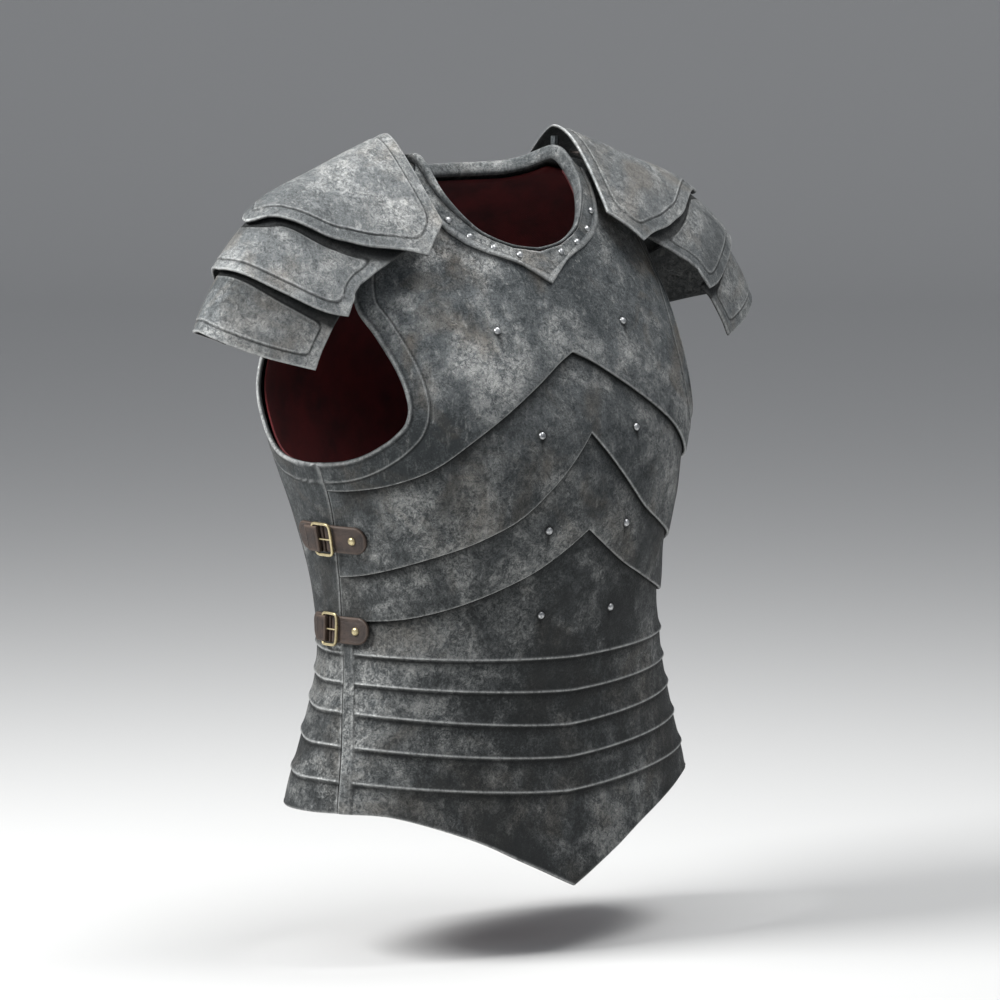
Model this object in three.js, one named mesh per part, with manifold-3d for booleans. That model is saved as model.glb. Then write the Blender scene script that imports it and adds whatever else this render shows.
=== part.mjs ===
// Steel cuirass: breastplate with two chevron lames, back plate, neck band,
// side straps and three-lame shoulder guards. Millimetres, +Z up.
// The wearer faces -Y, and the wearer's left is +X. The origin lies midway
// between the shoulders, on top of the ridge where the plates rest on them.
import * as THREE from 'three';
import Module from 'manifold-3d';

const wasm = await Module();
wasm.setup();

// ---- driving dimensions ----
const PLATE = 2.5;          // thickness of the body plates
const LAME = 2.2;           // thickness of the shoulder lames
const GAP = 0.9;            // clearance between overlapping plates
const TUCK = 12;            // how far a lower plate runs up under the one above
const RAMP = 38;            // length over which a tucked plate rises to the skin
const SQUARE = 2.15;        // exponent of the body's horizontal section
const RIDGE_Z = -12;        // crest of the shoulders on the mid-plane
const DROOP = 0.0012;       // how fast the shoulders fall away, per mm of x
const BACK_HEM = -535;
const RIB_HEIGHT = 2.6;
const RIB_SLOPE = 6;        // length of a rib's upper flank
const STRAP_HALF = 12;
const SEAM_GAP = 0.45;      // degrees between the front plates and the back plate
const COLUMNS = 20;

// Body skin, from the shoulder crest to the hem.
// height, half width, depth to the front, depth to the back
const BODY = [
  [-12, 150, 0, 0],
  [-16, 152, 8, 18],
  [-26, 155, 19, 40],
  [-42, 160, 33, 66],
  [-62, 166, 46, 90],
  [-88, 175, 61, 112],
  [-120, 186, 80, 132],
  [-150, 194, 96, 146],
  [-200, 199, 118, 158],
  [-250, 187, 131, 152],
  [-310, 170, 126, 128],
  [-370, 162, 113, 101],
  [-420, 165, 105, 85],
  [-480, 183, 100, 85],
  [-530, 200, 99, 90],
  [-570, 205, 103, 94],
  [-610, 207, 109, 100],
];

// Lower edges of the front plates: angle from the front centre, height.
const EDGE_UPPER = [[0, -170], [5, -178], [10, -188], [22.5, -212.5], [36, -237], [48, -257], [62, -270],
  [75, -276], [90, -279]];
const EDGE_MIDDLE = [[0, -234], [3, -244.5], [8.7, -263], [15.2, -281], [22.5, -298], [35, -315.5], [54, -332],
  [75, -345], [90, -350]];
const EDGE_LOWER = [[0, -313], [7.4, -328], [15.7, -342.5], [27.6, -357], [47, -373.5], [60, -380], [75, -383],
  [90, -384]];
const HEM = [[0, -606], [3, -602], [11.7, -590], [20, -579], [29, -567], [44, -552], [53, -545], [63, -539],
  [90, -535]];

// Side seam: height, angle from the front centre.
const SEAM = [[-610, 71], [-560, 71], [-520, 72.5], [-480, 77], [-440, 82.5], [-390, 87], [-340, 88],
  [-285, 87], [-200, 90], [-12, 90]];

// Raised ribs of the belly and back: heights at the front centre, the sides and the back.
const RIBS = [
  { centre: -418, side: -410, back: -406 },
  { centre: -446, side: -433, back: -427 },
  { centre: -474, side: -456, back: -448 },
  { centre: -501, side: -482, back: -474 },
  { centre: -529, side: -509, back: -504 },
];

// Neck opening and armhole on the skin: angle, height.
const NECK = [[0, -92], [8.5, -87.5], [14.7, -79.5], [18.7, -72.5], [22.4, -62.5], [26.4, -49.5], [29.4, -38],
  [31, -27], [31.8, -16], [32, -12.1], [148.2, -14], [149, -17], [152, -24], [157, -29.5], [165, -33],
  [180, -35]];
const ARMHOLE = [[70, -12.1], [69.5, -30], [70.5, -60], [70, -85], [67.5, -105], [59, -134], [55, -153],
  [52, -173], [50.8, -190], [51.3, -207], [53.3, -218], [57.5, -229], [64, -239.5], [70, -246.5], [76.5, -251.5],
  [83, -254], [93, -256], [102, -254], [110, -249], [116, -240], [122, -226], [125.5, -205], [127, -178],
  [127, -150], [124.5, -104], [119, -60], [113, -30], [110.5, -16]];

// Outer line of the collar band: angle, height.
const COLLAR = [[0, -118], [4.8, -107.5], [8, -101], [11.6, -96], [17.5, -89], [23.9, -79], [29.5, -66],
  [33.5, -50], [36.5, -34], [38, -20], [38.5, -12.4]];

// Shoulder ridge from the neck outwards: run along the ridge, x, y, z.
const SHOULDER = [[0, 91, 18, 4], [20, 110, 18, -2], [41, 130, 18, -9], [62.5, 150, 18, -16.5],
  [86, 172, 17.8, -24.5], [110, 195, 17.4, -32], [132.5, 216, 16, -40], [153, 234, 13.5, -50],
  [172, 249, 11.5, -62], [192, 263, 9.6, -76], [210.5, 275, 8.4, -90], [228.5, 285, 7.5, -105],
  [247, 294, 6.8, -121], [264.5, 301, 6.2, -137], [280, 306, 5.6, -152], [293.5, 309, 5.2, -165]];
// Arch of the lames across the ridge: run, drop at ARCH_REACH to either side, radius of the crest.
const ARCH = [[0, 67, 30], [57, 56, 38], [120, 64, 50], [196, 77, 56], [289, 91, 70]];
const ARCH_REACH = 65;

// ---- small maths helpers ----
const rad = THREE.MathUtils.degToRad;
const clamp01 = (t) => Math.min(1, Math.max(0, t));
const smooth = (t) => clamp01(t) * clamp01(t) * (3 - 2 * clamp01(t));
const mix = (a, b, t) => a + (b - a) * t;

// Smooth curve through the rows of a table whose first column rises or falls.
function curve(rows, col = 1, key = (r) => r[0]) {
  const sorted = rows.map((r) => [key(r), r[col]]).sort((a, b) => a[0] - b[0]);
  const n = sorted.length;
  const step = [];
  for (let i = 0; i < n - 1; i++) {
    step.push((sorted[i + 1][1] - sorted[i][1]) / (sorted[i + 1][0] - sorted[i][0]));
  }
  const slope = sorted.map((_, i) => {
    if (i === 0) return step[0];
    if (i === n - 1) return step[n - 2];
    const before = sorted[i][0] - sorted[i - 1][0];
    const after = sorted[i + 1][0] - sorted[i][0];
    return (step[i - 1] * after + step[i] * before) / (before + after);
  });
  return (x) => {
    let i = 0;
    while (i < n - 2 && x > sorted[i + 1][0]) i++;
    const width = sorted[i + 1][0] - sorted[i][0];
    const t = (x - sorted[i][0]) / width;
    const t2 = t * t;
    const t3 = t2 * t;
    return (2 * t3 - 3 * t2 + 1) * sorted[i][1] + (t3 - 2 * t2 + t) * width * slope[i]
      + (3 * t2 - 2 * t3) * sorted[i + 1][1] + (t3 - t2) * width * slope[i + 1];
  };
}

// ---- body skin ----
const level = (z) => Math.sqrt(Math.max(0, RIDGE_Z - z));
const halfWidth = curve(BODY, 1, (r) => level(r[0]));
const frontDepth = curve(BODY, 2, (r) => level(r[0]));
const backDepth = curve(BODY, 3, (r) => level(r[0]));

function bare(angle, w) {
  const s = Math.sin(rad(angle));
  const forward = Math.sign(Math.cos(rad(angle)));
  const g = Math.pow(Math.max(0, 1 - Math.pow(Math.abs(s), SQUARE)), 1 / SQUARE);
  const x = halfWidth(w) * s;
  const z = RIDGE_Z - w * w;
  const y = forward > 0 ? -frontDepth(w) * g : backDepth(w) * g;
  return new THREE.Vector3(x, y, z - DROOP * x * x * clamp01((z + 230) / 180));
}

function normalAt(angle, w) {
  const low = Math.max(0, w - 0.05);
  const across = bare(angle + 0.4, w).sub(bare(angle - 0.4, w));
  const down = bare(angle, low + 0.1).sub(bare(angle, low));
  return down.cross(across).normalize();
}

// Point on the skin at an angle and height, moved out by off.
function skin(angle, z, off = 0) {
  const w = level(z);
  return bare(angle, w).addScaledVector(normalAt(angle, w), off);
}

// ---- solid builders ----
function geometryOf(points, faces) {
  const flat = points.flatMap((p) => [p.x, p.y, p.z]);
  let volume = 0;
  for (const [a, b, c] of faces) {
    volume += points[a].dot(points[b].clone().cross(points[c]));
  }
  const index = faces.flatMap(([a, b, c]) => (volume > 0 ? [a, b, c] : [a, c, b]));
  const geo = new THREE.BufferGeometry();
  geo.setAttribute('position', new THREE.Float32BufferAttribute(flat, 3));
  geo.setIndex(index);
  return geo;
}

// Closed slab between two point grids of the same size.
function slab(cols, rows, outer, inner) {
  const points = [];
  const faces = [];
  for (const side of [outer, inner]) {
    for (let i = 0; i <= cols; i++) {
      for (let j = 0; j <= rows; j++) points.push(side(i / cols, j / rows));
    }
  }
  const half = (cols + 1) * (rows + 1);
  const at = (i, j, k) => k * half + i * (rows + 1) + j;
  const quad = (a, b, c, d) => faces.push([a, b, c], [a, c, d]);
  for (let i = 0; i < cols; i++) {
    for (let j = 0; j < rows; j++) {
      if (i < cols / 2) {
        quad(at(i, j, 0), at(i, j + 1, 0), at(i + 1, j + 1, 0), at(i + 1, j, 0));
        quad(at(i, j, 1), at(i + 1, j, 1), at(i + 1, j + 1, 1), at(i, j + 1, 1));
      } else {
        quad(at(i + 1, j, 0), at(i, j, 0), at(i, j + 1, 0), at(i + 1, j + 1, 0));
        quad(at(i + 1, j, 1), at(i + 1, j + 1, 1), at(i, j + 1, 1), at(i, j, 1));
      }
    }
  }
  for (let i = 0; i < cols; i++) {
    quad(at(i, 0, 0), at(i + 1, 0, 0), at(i + 1, 0, 1), at(i, 0, 1));
    quad(at(i, rows, 0), at(i, rows, 1), at(i + 1, rows, 1), at(i + 1, rows, 0));
  }
  for (let j = 0; j < rows; j++) {
    quad(at(0, j, 0), at(0, j, 1), at(0, j + 1, 1), at(0, j + 1, 0));
    quad(at(cols, j, 0), at(cols, j + 1, 0), at(cols, j + 1, 1), at(cols, j, 1));
  }
  return geometryOf(points, faces);
}

// Solid lofted through rings of equal length. Closed rings of rings make a torus.
function loft(rings, closed) {
  const n = rings[0].length;
  const points = rings.flat();
  const faces = [];
  const last = closed ? rings.length : rings.length - 1;
  for (let i = 0; i < last; i++) {
    const next = (i + 1) % rings.length;
    for (let j = 0; j < n; j++) {
      const k = (j + 1) % n;
      faces.push([i * n + j, i * n + k, next * n + k], [i * n + j, next * n + k, next * n + j]);
    }
  }
  if (!closed) {
    for (const [i, flip] of [[0, true], [rings.length - 1, false]]) {
      const centre = new THREE.Vector3();
      rings[i].forEach((p) => centre.add(p));
      points.push(centre.divideScalar(n));
      const c = points.length - 1;
      for (let j = 0; j < n; j++) {
        const k = (j + 1) % n;
        faces.push(flip ? [c, i * n + k, i * n + j] : [c, i * n + j, i * n + k]);
      }
    }
  }
  return geometryOf(points, faces);
}

function toManifold(geo) {
  return new wasm.Manifold(new wasm.Mesh({
    numProp: 3,
    vertProperties: new Float32Array(geo.attributes.position.array),
    triVerts: new Uint32Array(geo.index.array),
  }));
}

function fromManifold(solid) {
  const mesh = solid.getMesh();
  const geo = new THREE.BufferGeometry();
  const flat = [];
  for (let i = 0; i < mesh.numVert; i++) {
    flat.push(...mesh.vertProperties.slice(i * mesh.numProp, i * mesh.numProp + 3));
  }
  geo.setAttribute('position', new THREE.Float32BufferAttribute(flat, 3));
  geo.setIndex(Array.from(mesh.triVerts));
  return geo;
}

// Cuts a solid and keeps its main body, without the slivers a cut may leave.
const SLIVER = 0.05;
function cut(geo, cutters) {
  let solid = toManifold(geo);
  for (const cutter of cutters) solid = solid.subtract(toManifold(cutter));
  const bodies = solid.decompose().sort((a, b) => b.volume() - a.volume());
  return fromManifold(bodies[0].simplify(SLIVER));
}

function mirrored(geo) {
  const copy = geo.clone();
  copy.scale(-1, 1, 1);
  const index = copy.index.array;
  for (let i = 0; i < index.length; i += 3) {
    [index[i + 1], index[i + 2]] = [index[i + 2], index[i + 1]];
  }
  return copy;
}

// Plug that cuts an opening square to the skin.
function plug(outline, inTip, outTip) {
  const ring = (off) => outline.map(([angle, z]) => skin(angle, z, off));
  const rings = [ring(-13), ring(12)];
  const points = rings.flat();
  const n = outline.length;
  points.push(new THREE.Vector3(...inTip), new THREE.Vector3(...outTip));
  const faces = [];
  for (let j = 0; j < n; j++) {
    const k = (j + 1) % n;
    faces.push([j, k, n + k], [j, n + k, n + j], [2 * n, k, j], [2 * n + 1, n + j, n + k]);
  }
  return geometryOf(points, faces);
}

function grown(outline, centre, factor) {
  return outline.map(([angle, z]) => [
    centre[0] + (angle - centre[0]) * factor,
    Math.min(RIDGE_Z - 0.1, centre[1] + (z - centre[1]) * factor),
  ]);
}

const neckRight = NECK.slice(1, -1).map(([angle, z]) => [-angle, z]).reverse();
const NECK_LOOP = [...NECK, ...neckRight];

function neckPlug(factor) {
  const loop = NECK_LOOP.map(([angle, z]) => {
    if (Math.abs(angle) < 90) return [angle * factor, z < -20 ? z * factor : z];
    return [Math.sign(angle) * (180 - (180 - Math.abs(angle)) * factor), z < -20 ? z * factor : z];
  });
  return plug(loop, [0, 0, -210], [0, 0, 70]);
}

function armPlugs(factor) {
  const left = plug(grown(ARMHOLE, [88, -150], factor), [92, 0, -160], [245, 5, -118]);
  return [left, mirrored(left)];
}

// ---- front plates ----
const seam = curve(SEAM);
const edgeUpper = curve(EDGE_UPPER);
const edgeMiddle = curve(EDGE_MIDDLE);
const edgeLower = curve(EDGE_LOWER);
const hem = curve(HEM);
const seamAngle = (c, z) => c * seam(z);

// Height of a rib at an angle from the front centre, 0 to 180.
function ribHeight(rib, angle) {
  const a = Math.abs(angle);
  if (a < 90) return mix(rib.centre, rib.side, Math.pow(Math.sin(rad(a)), 1.3));
  return mix(rib.side, rib.back, smooth((a - 90) / 30));
}

function relief(angle, z) {
  let best = 0;
  for (const rib of RIBS) {
    const d = z - ribHeight(rib, angle);
    if (d >= 0) best = Math.max(best, 1 - d / RIB_SLOPE);
    else best = Math.max(best, 1 + d / 2.5);
  }
  return best * RIB_HEIGHT;
}

// One front plate between an upper and a lower line, tucked under the plate above.
function frontPlate(top, bottom, tucked, levels) {
  const place = (c, j) => {
    const angle0 = c * 88;
    const side = Math.abs(c);
    const run = tucked ? mix(TUCK, -GAP, clamp01((side - 0.76) / 0.07)) : 0;
    const zTop = top(Math.abs(angle0)) + run;
    const zLow = bottom(Math.abs(angle0));
    const stops = levels(angle0, zTop, zLow);
    const z = stops[j];
    const under = top(Math.abs(angle0)) - z;
    const fade = 1 - clamp01((side - 0.92) / 0.08);
    const sunk = tucked ? (1 - smooth((under + 1) / RAMP)) * fade * (PLATE + GAP) : 0;
    const raised = levels.ribbed ? relief(angle0, z) * clamp01((1 - side) / 0.06) : 0;
    return { angle: seamAngle(c, z), z, sunk, raised };
  };
  const rows = levels.count;
  const outer = (u, v) => {
    const p = place(u * 2 - 1, Math.round(v * rows));
    return skin(p.angle, p.z, p.raised - p.sunk);
  };
  const inner = (u, v) => {
    const p = place(u * 2 - 1, Math.round(v * rows));
    const point = skin(p.angle, p.z, -PLATE - p.sunk);
    if (!tucked) point.y = Math.min(point.y, -0.15);
    return point;
  };
  return slab(COLUMNS, rows, outer, inner);
}

function evenLevels(count, power = 1) {
  const levels = (angle, zTop, zLow) => {
    const stops = [];
    const from = level(zTop);
    const to = level(zLow);
    for (let j = 0; j <= count; j++) {
      const w = mix(from, to, Math.pow(j / count, power));
      stops.push(RIDGE_Z - w * w);
    }
    return stops;
  };
  levels.count = count;
  return levels;
}

function ribbedLevels(plain) {
  const levels = (angle, zTop, zLow) => {
    const stops = [];
    const first = ribHeight(RIBS[0], angle) + RIB_SLOPE;
    for (let j = 0; j < plain; j++) stops.push(mix(zTop, first, j / plain));
    RIBS.forEach((rib) => {
      const z = ribHeight(rib, angle);
      stops.push(z + RIB_SLOPE, z, z - 2.5);
    });
    const last = stops[stops.length - 1];
    stops.push(mix(last, zLow, 0.5), zLow);
    return stops;
  };
  levels.count = plain + 3 * RIBS.length + 1;
  levels.ribbed = true;
  return levels;
}

const ridgeFront = () => RIDGE_Z - 0.01;
const upperPlate = cut(
  frontPlate(ridgeFront, edgeUpper, false, evenLevels(11, 0.74)),
  [neckPlug(1), ...armPlugs(1)],
);
const chevronUpper = frontPlate(edgeUpper, edgeMiddle, true, evenLevels(6));
const chevronLower = frontPlate(edgeMiddle, edgeLower, true, evenLevels(5));
const bellyPlate = frontPlate(edgeLower, hem, true, ribbedLevels(3));

// ---- back plate ----
function backGrid(levels, lift, ribbed, inset, zLow) {
  const rows = levels.count;
  return (u, v) => {
    const c = u * 2 - 1;
    const guess = 180 - Math.abs(c) * 90;
    const z = levels(guess, RIDGE_Z - 0.003, zLow)[Math.round(v * rows)];
    const span = 180 - seam(z) - inset;
    const angle = 180 - c * span;
    const side = clamp01((1 - Math.abs(c)) / 0.05);
    const folded = angle > 180 ? 360 - angle : angle;
    const raised = ribbed ? relief(folded, z) * side : 0;
    const point = skin(folded === angle ? angle : -folded, z, lift + raised);
    if (z > -20) point.y = Math.max(point.y, 0.15);
    return point;
  };
}

const PLAIN_BACK = 11;

function backLevels() {
  const levels = (angle, zTop, zLow) => {
    const stops = [];
    const start = ribHeight(RIBS[0], angle) + RIB_SLOPE;
    const to = level(start);
    for (let j = 0; j < PLAIN_BACK; j++) {
      const w = mix(level(zTop), to, Math.pow(j / PLAIN_BACK, 0.62));
      stops.push(RIDGE_Z - w * w);
    }
    RIBS.forEach((rib) => {
      const z = ribHeight(rib, angle);
      stops.push(z + RIB_SLOPE, z, z - 2.5);
    });
    stops.push(zLow);
    return stops;
  };
  levels.count = PLAIN_BACK + 3 * RIBS.length;
  return levels;
}

const ribbedBack = backLevels();
const backPlate = cut(
  slab(18, ribbedBack.count, backGrid(ribbedBack, 0, true, SEAM_GAP, BACK_HEM),
    backGrid(ribbedBack, -PLATE, false, SEAM_GAP, BACK_HEM)),
  [neckPlug(1), ...armPlugs(1)],
);

// ---- linings ----
const LINING_GAP = 2.8;
const LINING_OFF = -(2 * PLATE + GAP) - LINING_GAP;
const LINING = 1.5;
function frontLining() {
  const levels = evenLevels(11, 0.7);
  const grid = (off) => (u, v) => {
    const c = (u * 2 - 1) * 0.985;
    const low = hem(Math.abs(c * 80)) + 14;
    const z = levels(0, RIDGE_Z - 5, low)[Math.round(v * levels.count)];
    return skin(seamAngle(c, z), z, off);
  };
  return slab(14, levels.count, grid(LINING_OFF), grid(LINING_OFF - LINING));
}

function backLining() {
  const levels = evenLevels(13, 0.7);
  const top = RIDGE_Z - 3;
  const off = -PLATE - LINING_GAP;
  const grid = (lift) => (u, v) => {
    const z = levels(0, top, BACK_HEM + 14)[Math.round(v * levels.count)];
    const angle = 180 - (u * 2 - 1) * (180 - seam(z) - 2);
    return skin(angle > 180 ? angle - 360 : angle, z, lift);
  };
  return slab(14, levels.count, grid(off), grid(off - LINING));
}

const liningFront = cut(frontLining(), [neckPlug(1.06), ...armPlugs(1.05)]);
const liningBack = cut(backLining(), [neckPlug(1.06), ...armPlugs(1.05)]);

// ---- collar band and neck rim ----
const collarBySide = (side) => {
  const inner = NECK.slice(0, 10);
  const pick = (rows, t, col) => {
    const k = t * (rows.length - 1);
    const i = Math.min(rows.length - 2, Math.floor(k));
    return mix(rows[i][col], rows[i + 1][col], k - i);
  };
  return (t, v) => {
    const a = mix(pick(inner, t, 0) + 0.1, pick(COLLAR, t, 0), v);
    const z = mix(pick(inner, t, 1), pick(COLLAR, t, 1), v);
    return [side * a, z];
  };
};

function collarBand() {
  const left = collarBySide(1);
  const right = collarBySide(-1);
  const grid = (low, high) => (u, v) => {
    const c = u * 2 - 1;
    const t = Math.abs(c) * 0.96;
    const across = [0.03, 0.3, 0.8, 0.87, 1][Math.round(v * 4)];
    const [angle, z] = (c >= 0 ? left : right)(t, across);
    return skin(angle, z, v > 0.7 ? high : low);
  };
  return slab(22, 4, grid(2.3, 3.1), grid(0.45, 0.45));
}

function neckRim() {
  const rings = [];
  const n = NECK_LOOP.length;
  for (let i = 0; i < n; i++) {
    const [angle, z] = NECK_LOOP[i];
    const here = skin(angle, z);
    const ahead = skin(...NECK_LOOP[(i + 1) % n]);
    const behind = skin(...NECK_LOOP[(i + n - 1) % n]);
    const out = normalAt(angle, level(z));
    const along = ahead.sub(behind).normalize();
    const inward = along.clone().cross(out).normalize();
    if (inward.dot(new THREE.Vector3(-here.x, -here.y, 0)) < 0) inward.negate();
    const rear = smooth((here.y + 62) / 55);
    const halfT = mix(1.5, 2.8, rear);
    const halfH = mix(2.2, 6, rear);
    const centre = here.addScaledVector(inward, halfT + 0.5).addScaledVector(out, mix(0.4, 1.5, rear));
    const ring = [];
    for (let k = 0; k < 6; k++) {
      const t = ((k + 0.5) / 6) * 2 * Math.PI;
      ring.push(centre.clone().addScaledVector(inward, Math.cos(t) * halfT)
        .addScaledVector(out, Math.sin(t) * halfH));
    }
    rings.push(ring);
  }
  return loft(rings, true);
}

// ---- rivets ----
function rivet(angle, z, radius, height, base = 0.35) {
  const origin = skin(angle, z);
  const out = normalAt(angle, level(z));
  const side = new THREE.Vector3(0, 0, 1).cross(out).normalize();
  const up = out.clone().cross(side);
  const ring = (r, h) => {
    const points = [];
    for (let k = 0; k < 6; k++) {
      const t = (k / 6) * 2 * Math.PI;
      points.push(origin.clone().addScaledVector(out, h).addScaledVector(side, r * Math.cos(t))
        .addScaledVector(up, r * Math.sin(t)));
    }
    return points;
  };
  return loft([ring(radius, base), ring(radius * 0.72, base + height * 0.8)], false);
}

// ---- straps and buckles, at a height on the side seam ----
function patch(from, to, zMid, low, high, half, cols = 6, round = 0) {
  const grid = (off) => (u, v) => {
    const angle = mix(from, to, u);
    const radius = halfWidth(level(zMid));
    const left = Math.abs(rad(angle - to)) * radius;
    const h = round > 0 && left < round ? half * Math.sqrt(1 - Math.pow((1 - left / round) * 0.9, 2)) : half;
    return skin(angle, zMid + (0.5 - v) * 2 * h, off);
  };
  return slab(cols, 1, grid(high), grid(low));
}

function buckle(zMid) {
  const frame = patch(86.6, 95.6, zMid, 4.7, 7.7, 16, 2);
  const hole = patch(88.4, 93.8, zMid, 2, 10, 12.6, 1);
  const prong = patch(87.2, 95, zMid, 5.2, 7.1, 1.3, 2);
  const solid = toManifold(frame).subtract(toManifold(hole)).add(toManifold(prong));
  return fromManifold(solid);
}

// ---- shoulder guard ----
const ridgeX = curve(SHOULDER, 1);
const ridgeY = curve(SHOULDER, 2);
const ridgeZ = curve(SHOULDER, 3);
const archDrop = curve(ARCH, 1);
const archCrest = curve(ARCH, 2);

// Point on the shoulder skin: run along the ridge, sideways reach, offset out.
function shoulderAt(run, reachY) {
  const dx = ridgeX(run + 0.5) - ridgeX(run - 0.5);
  const dz = ridgeZ(run + 0.5) - ridgeZ(run - 0.5);
  const len = Math.hypot(dx, dz);
  const crest = archCrest(run);
  const share = (Math.hypot(reachY, crest) - crest) / (Math.hypot(ARCH_REACH, crest) - crest);
  const drop = archDrop(run) * share;
  return new THREE.Vector3(
    ridgeX(run) + (dz / len) * drop,
    ridgeY(run) + reachY,
    ridgeZ(run) - (dx / len) * drop,
  );
}

function shoulder(run, reachY, off) {
  const along = shoulderAt(run + 0.5, reachY).sub(shoulderAt(run - 0.5, reachY));
  const across = shoulderAt(run, reachY + 0.5).sub(shoulderAt(run, reachY - 0.5));
  const out = along.cross(across).normalize();
  if (out.z < 0 && out.x < 0) out.negate();
  return shoulderAt(run, reachY).addScaledVector(out, off);
}

// Run along the ridge where each lame ends, against sideways reach.
const TOP_END = [[0, 168], [8, 164], [15, 155], [28, 143], [45, 126], [61, 97], [75, 70], [82, 58]];
const MID_END = [[0, 216], [20, 213], [43, 210], [60, 202], [74, 184]];
const LOW_END_FRONT = [[0, 270], [15, 273], [40, 279], [61, 285]];
const LOW_END_BACK = [[0, 270], [15, 270], [40, 266], [61, 260]];
const NECK_START = 0.25;    // run at which the top lame starts, per mm of sideways reach
const LAME_LAP = 14;        // length of a lame that lies under the one above
const topEnd = curve(TOP_END);
const midEnd = curve(MID_END);
const lowFront = curve(LOW_END_FRONT);
const lowBack = curve(LOW_END_BACK);

// Widths and offsets are given at the upper and the lower end of a lame.
function lame(widths, offsets, from, to, rows) {
  const grid = (lift) => (u, v) => {
    const c = u * 2 - 1;
    const reachY = c * mix(widths[0], widths[1], v);
    const edge = Math.abs(c) * widths[1];
    const run = mix(from(edge), to(edge, c), v);
    return shoulder(run, reachY, mix(offsets[0], offsets[1], v) + lift);
  };
  return slab(12, rows, grid(0), grid(-LAME));
}

const topLame = lame([67.5, 82], [0, 0], (e) => e * NECK_START, topEnd, 7);
const midLame = lame([74, 70], [-6.5, -1.5], (e) => topEnd(e) - LAME_LAP, midEnd, 4);
const lowLame = lame([68, 61], [-9.5, -4], (e) => midEnd(e) - LAME_LAP,
  (e, c) => (c < 0 ? lowFront(e) : lowBack(e)), 3);

function hanger() {
  const grid = (off) => (u, v) => shoulder(mix(30, 254, u), (v - 0.5) * 24, off);
  return slab(8, 1, grid(-13), grid(-15));
}

function post() {
  const x = 100;
  const y = 26;
  const foot = -31.6;
  const ring = (z) => {
    const points = [];
    for (let k = 0; k < 8; k++) {
      const t = (k / 8) * 2 * Math.PI;
      points.push(new THREE.Vector3(x + 3.5 * Math.cos(t), y + 3.5 * Math.sin(t), z));
    }
    return points;
  };
  return loft([ring(foot), ring(-6.4)], false);
}

// ---- assembly ----
const steel = new THREE.MeshStandardMaterial({ color: 0x6d7276, metalness: 0.85, roughness: 0.5 });
const brightSteel = new THREE.MeshStandardMaterial({ color: 0x9a9ea0, metalness: 0.9, roughness: 0.4 });
const leather = new THREE.MeshStandardMaterial({ color: 0x3a2a24, metalness: 0, roughness: 0.7 });
const brass = new THREE.MeshStandardMaterial({ color: 0xa8904e, metalness: 0.9, roughness: 0.4 });
const redCloth = new THREE.MeshStandardMaterial({ color: 0x3c0c0c, metalness: 0, roughness: 0.9 });

const model = new THREE.Group();

function add(name, geo, material) {
  geo.computeVertexNormals();
  const mesh = new THREE.Mesh(geo, material);
  mesh.name = name;
  model.add(mesh);
}

function addPair(name, geo, material) {
  add(`${name}_left`, geo, material);
  add(`${name}_right`, mirrored(geo), material);
}

add('upper_breastplate', upperPlate, steel);
add('chevron_lame_upper', chevronUpper, steel);
add('chevron_lame_lower', chevronLower, steel);
add('belly_plate', bellyPlate, steel);
add('back_plate', backPlate, steel);
add('lining_front', liningFront, redCloth);
add('lining_back', liningBack, redCloth);
add('collar_band', collarBand(), steel);
add('neck_rim', neckRim(), steel);

// angle and height of one of each mirrored pair
const BREAST_RIVETS = [[20.8, -148], [15.6, -233.5], [14.4, -311], [13.6, -381]];
const COLLAR_RIVETS = [[7.3, -94], [15.1, -86], [22, -74.4], [28.1, -58.2]];
BREAST_RIVETS.forEach(([angle, z], i) => addPair(`breast_rivet_${i + 1}`, rivet(angle, z, 3, 2.4), brightSteel));
COLLAR_RIVETS.forEach(([angle, z], i) => {
  addPair(`collar_rivet_${i + 1}`, rivet(angle, z, 2.7, 2.2, 3.0), brightSteel);
});

const STRAPS = { upper: -317, lower: -391.5 };
for (const [name, z] of Object.entries(STRAPS)) {
  addPair(`strap_${name}_front`, patch(90.4, 74, z, 1, 4, STRAP_HALF, 7, 14), leather);
  addPair(`strap_${name}_back`, patch(91.2, 106, z, 1, 4, STRAP_HALF, 6, 12), leather);
  addPair(`buckle_${name}`, buckle(z), brass);
  addPair(`strap_rivet_${name}`, rivet(79.2, z, 3.4, 2, 4.35), brass);
}

addPair('shoulder_top', topLame, steel);
addPair('shoulder_middle', midLame, steel);
addPair('shoulder_lower', lowLame, steel);
addPair('shoulder_hanger', hanger(), leather);
addPair('shoulder_post', post(), steel);

export default model;
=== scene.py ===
import math
import bpy
import numpy as np
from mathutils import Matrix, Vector


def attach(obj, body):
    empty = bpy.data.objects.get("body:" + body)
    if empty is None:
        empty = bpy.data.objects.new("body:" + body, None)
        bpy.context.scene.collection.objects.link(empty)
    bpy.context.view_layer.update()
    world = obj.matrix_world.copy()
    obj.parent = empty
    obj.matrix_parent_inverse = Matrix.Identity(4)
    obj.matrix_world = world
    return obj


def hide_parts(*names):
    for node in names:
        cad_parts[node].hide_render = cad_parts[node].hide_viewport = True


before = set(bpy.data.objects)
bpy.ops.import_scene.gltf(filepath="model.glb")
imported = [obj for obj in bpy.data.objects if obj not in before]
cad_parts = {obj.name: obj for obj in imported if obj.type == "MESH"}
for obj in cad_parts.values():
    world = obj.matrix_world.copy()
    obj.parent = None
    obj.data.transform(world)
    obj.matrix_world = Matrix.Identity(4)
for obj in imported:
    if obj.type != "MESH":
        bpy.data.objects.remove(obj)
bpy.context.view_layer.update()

# ---------------- dimensions, mm and degrees
PLATE, LAME = 2.5, 2.2  # thickness of the body plates and of the shoulder lames
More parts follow.
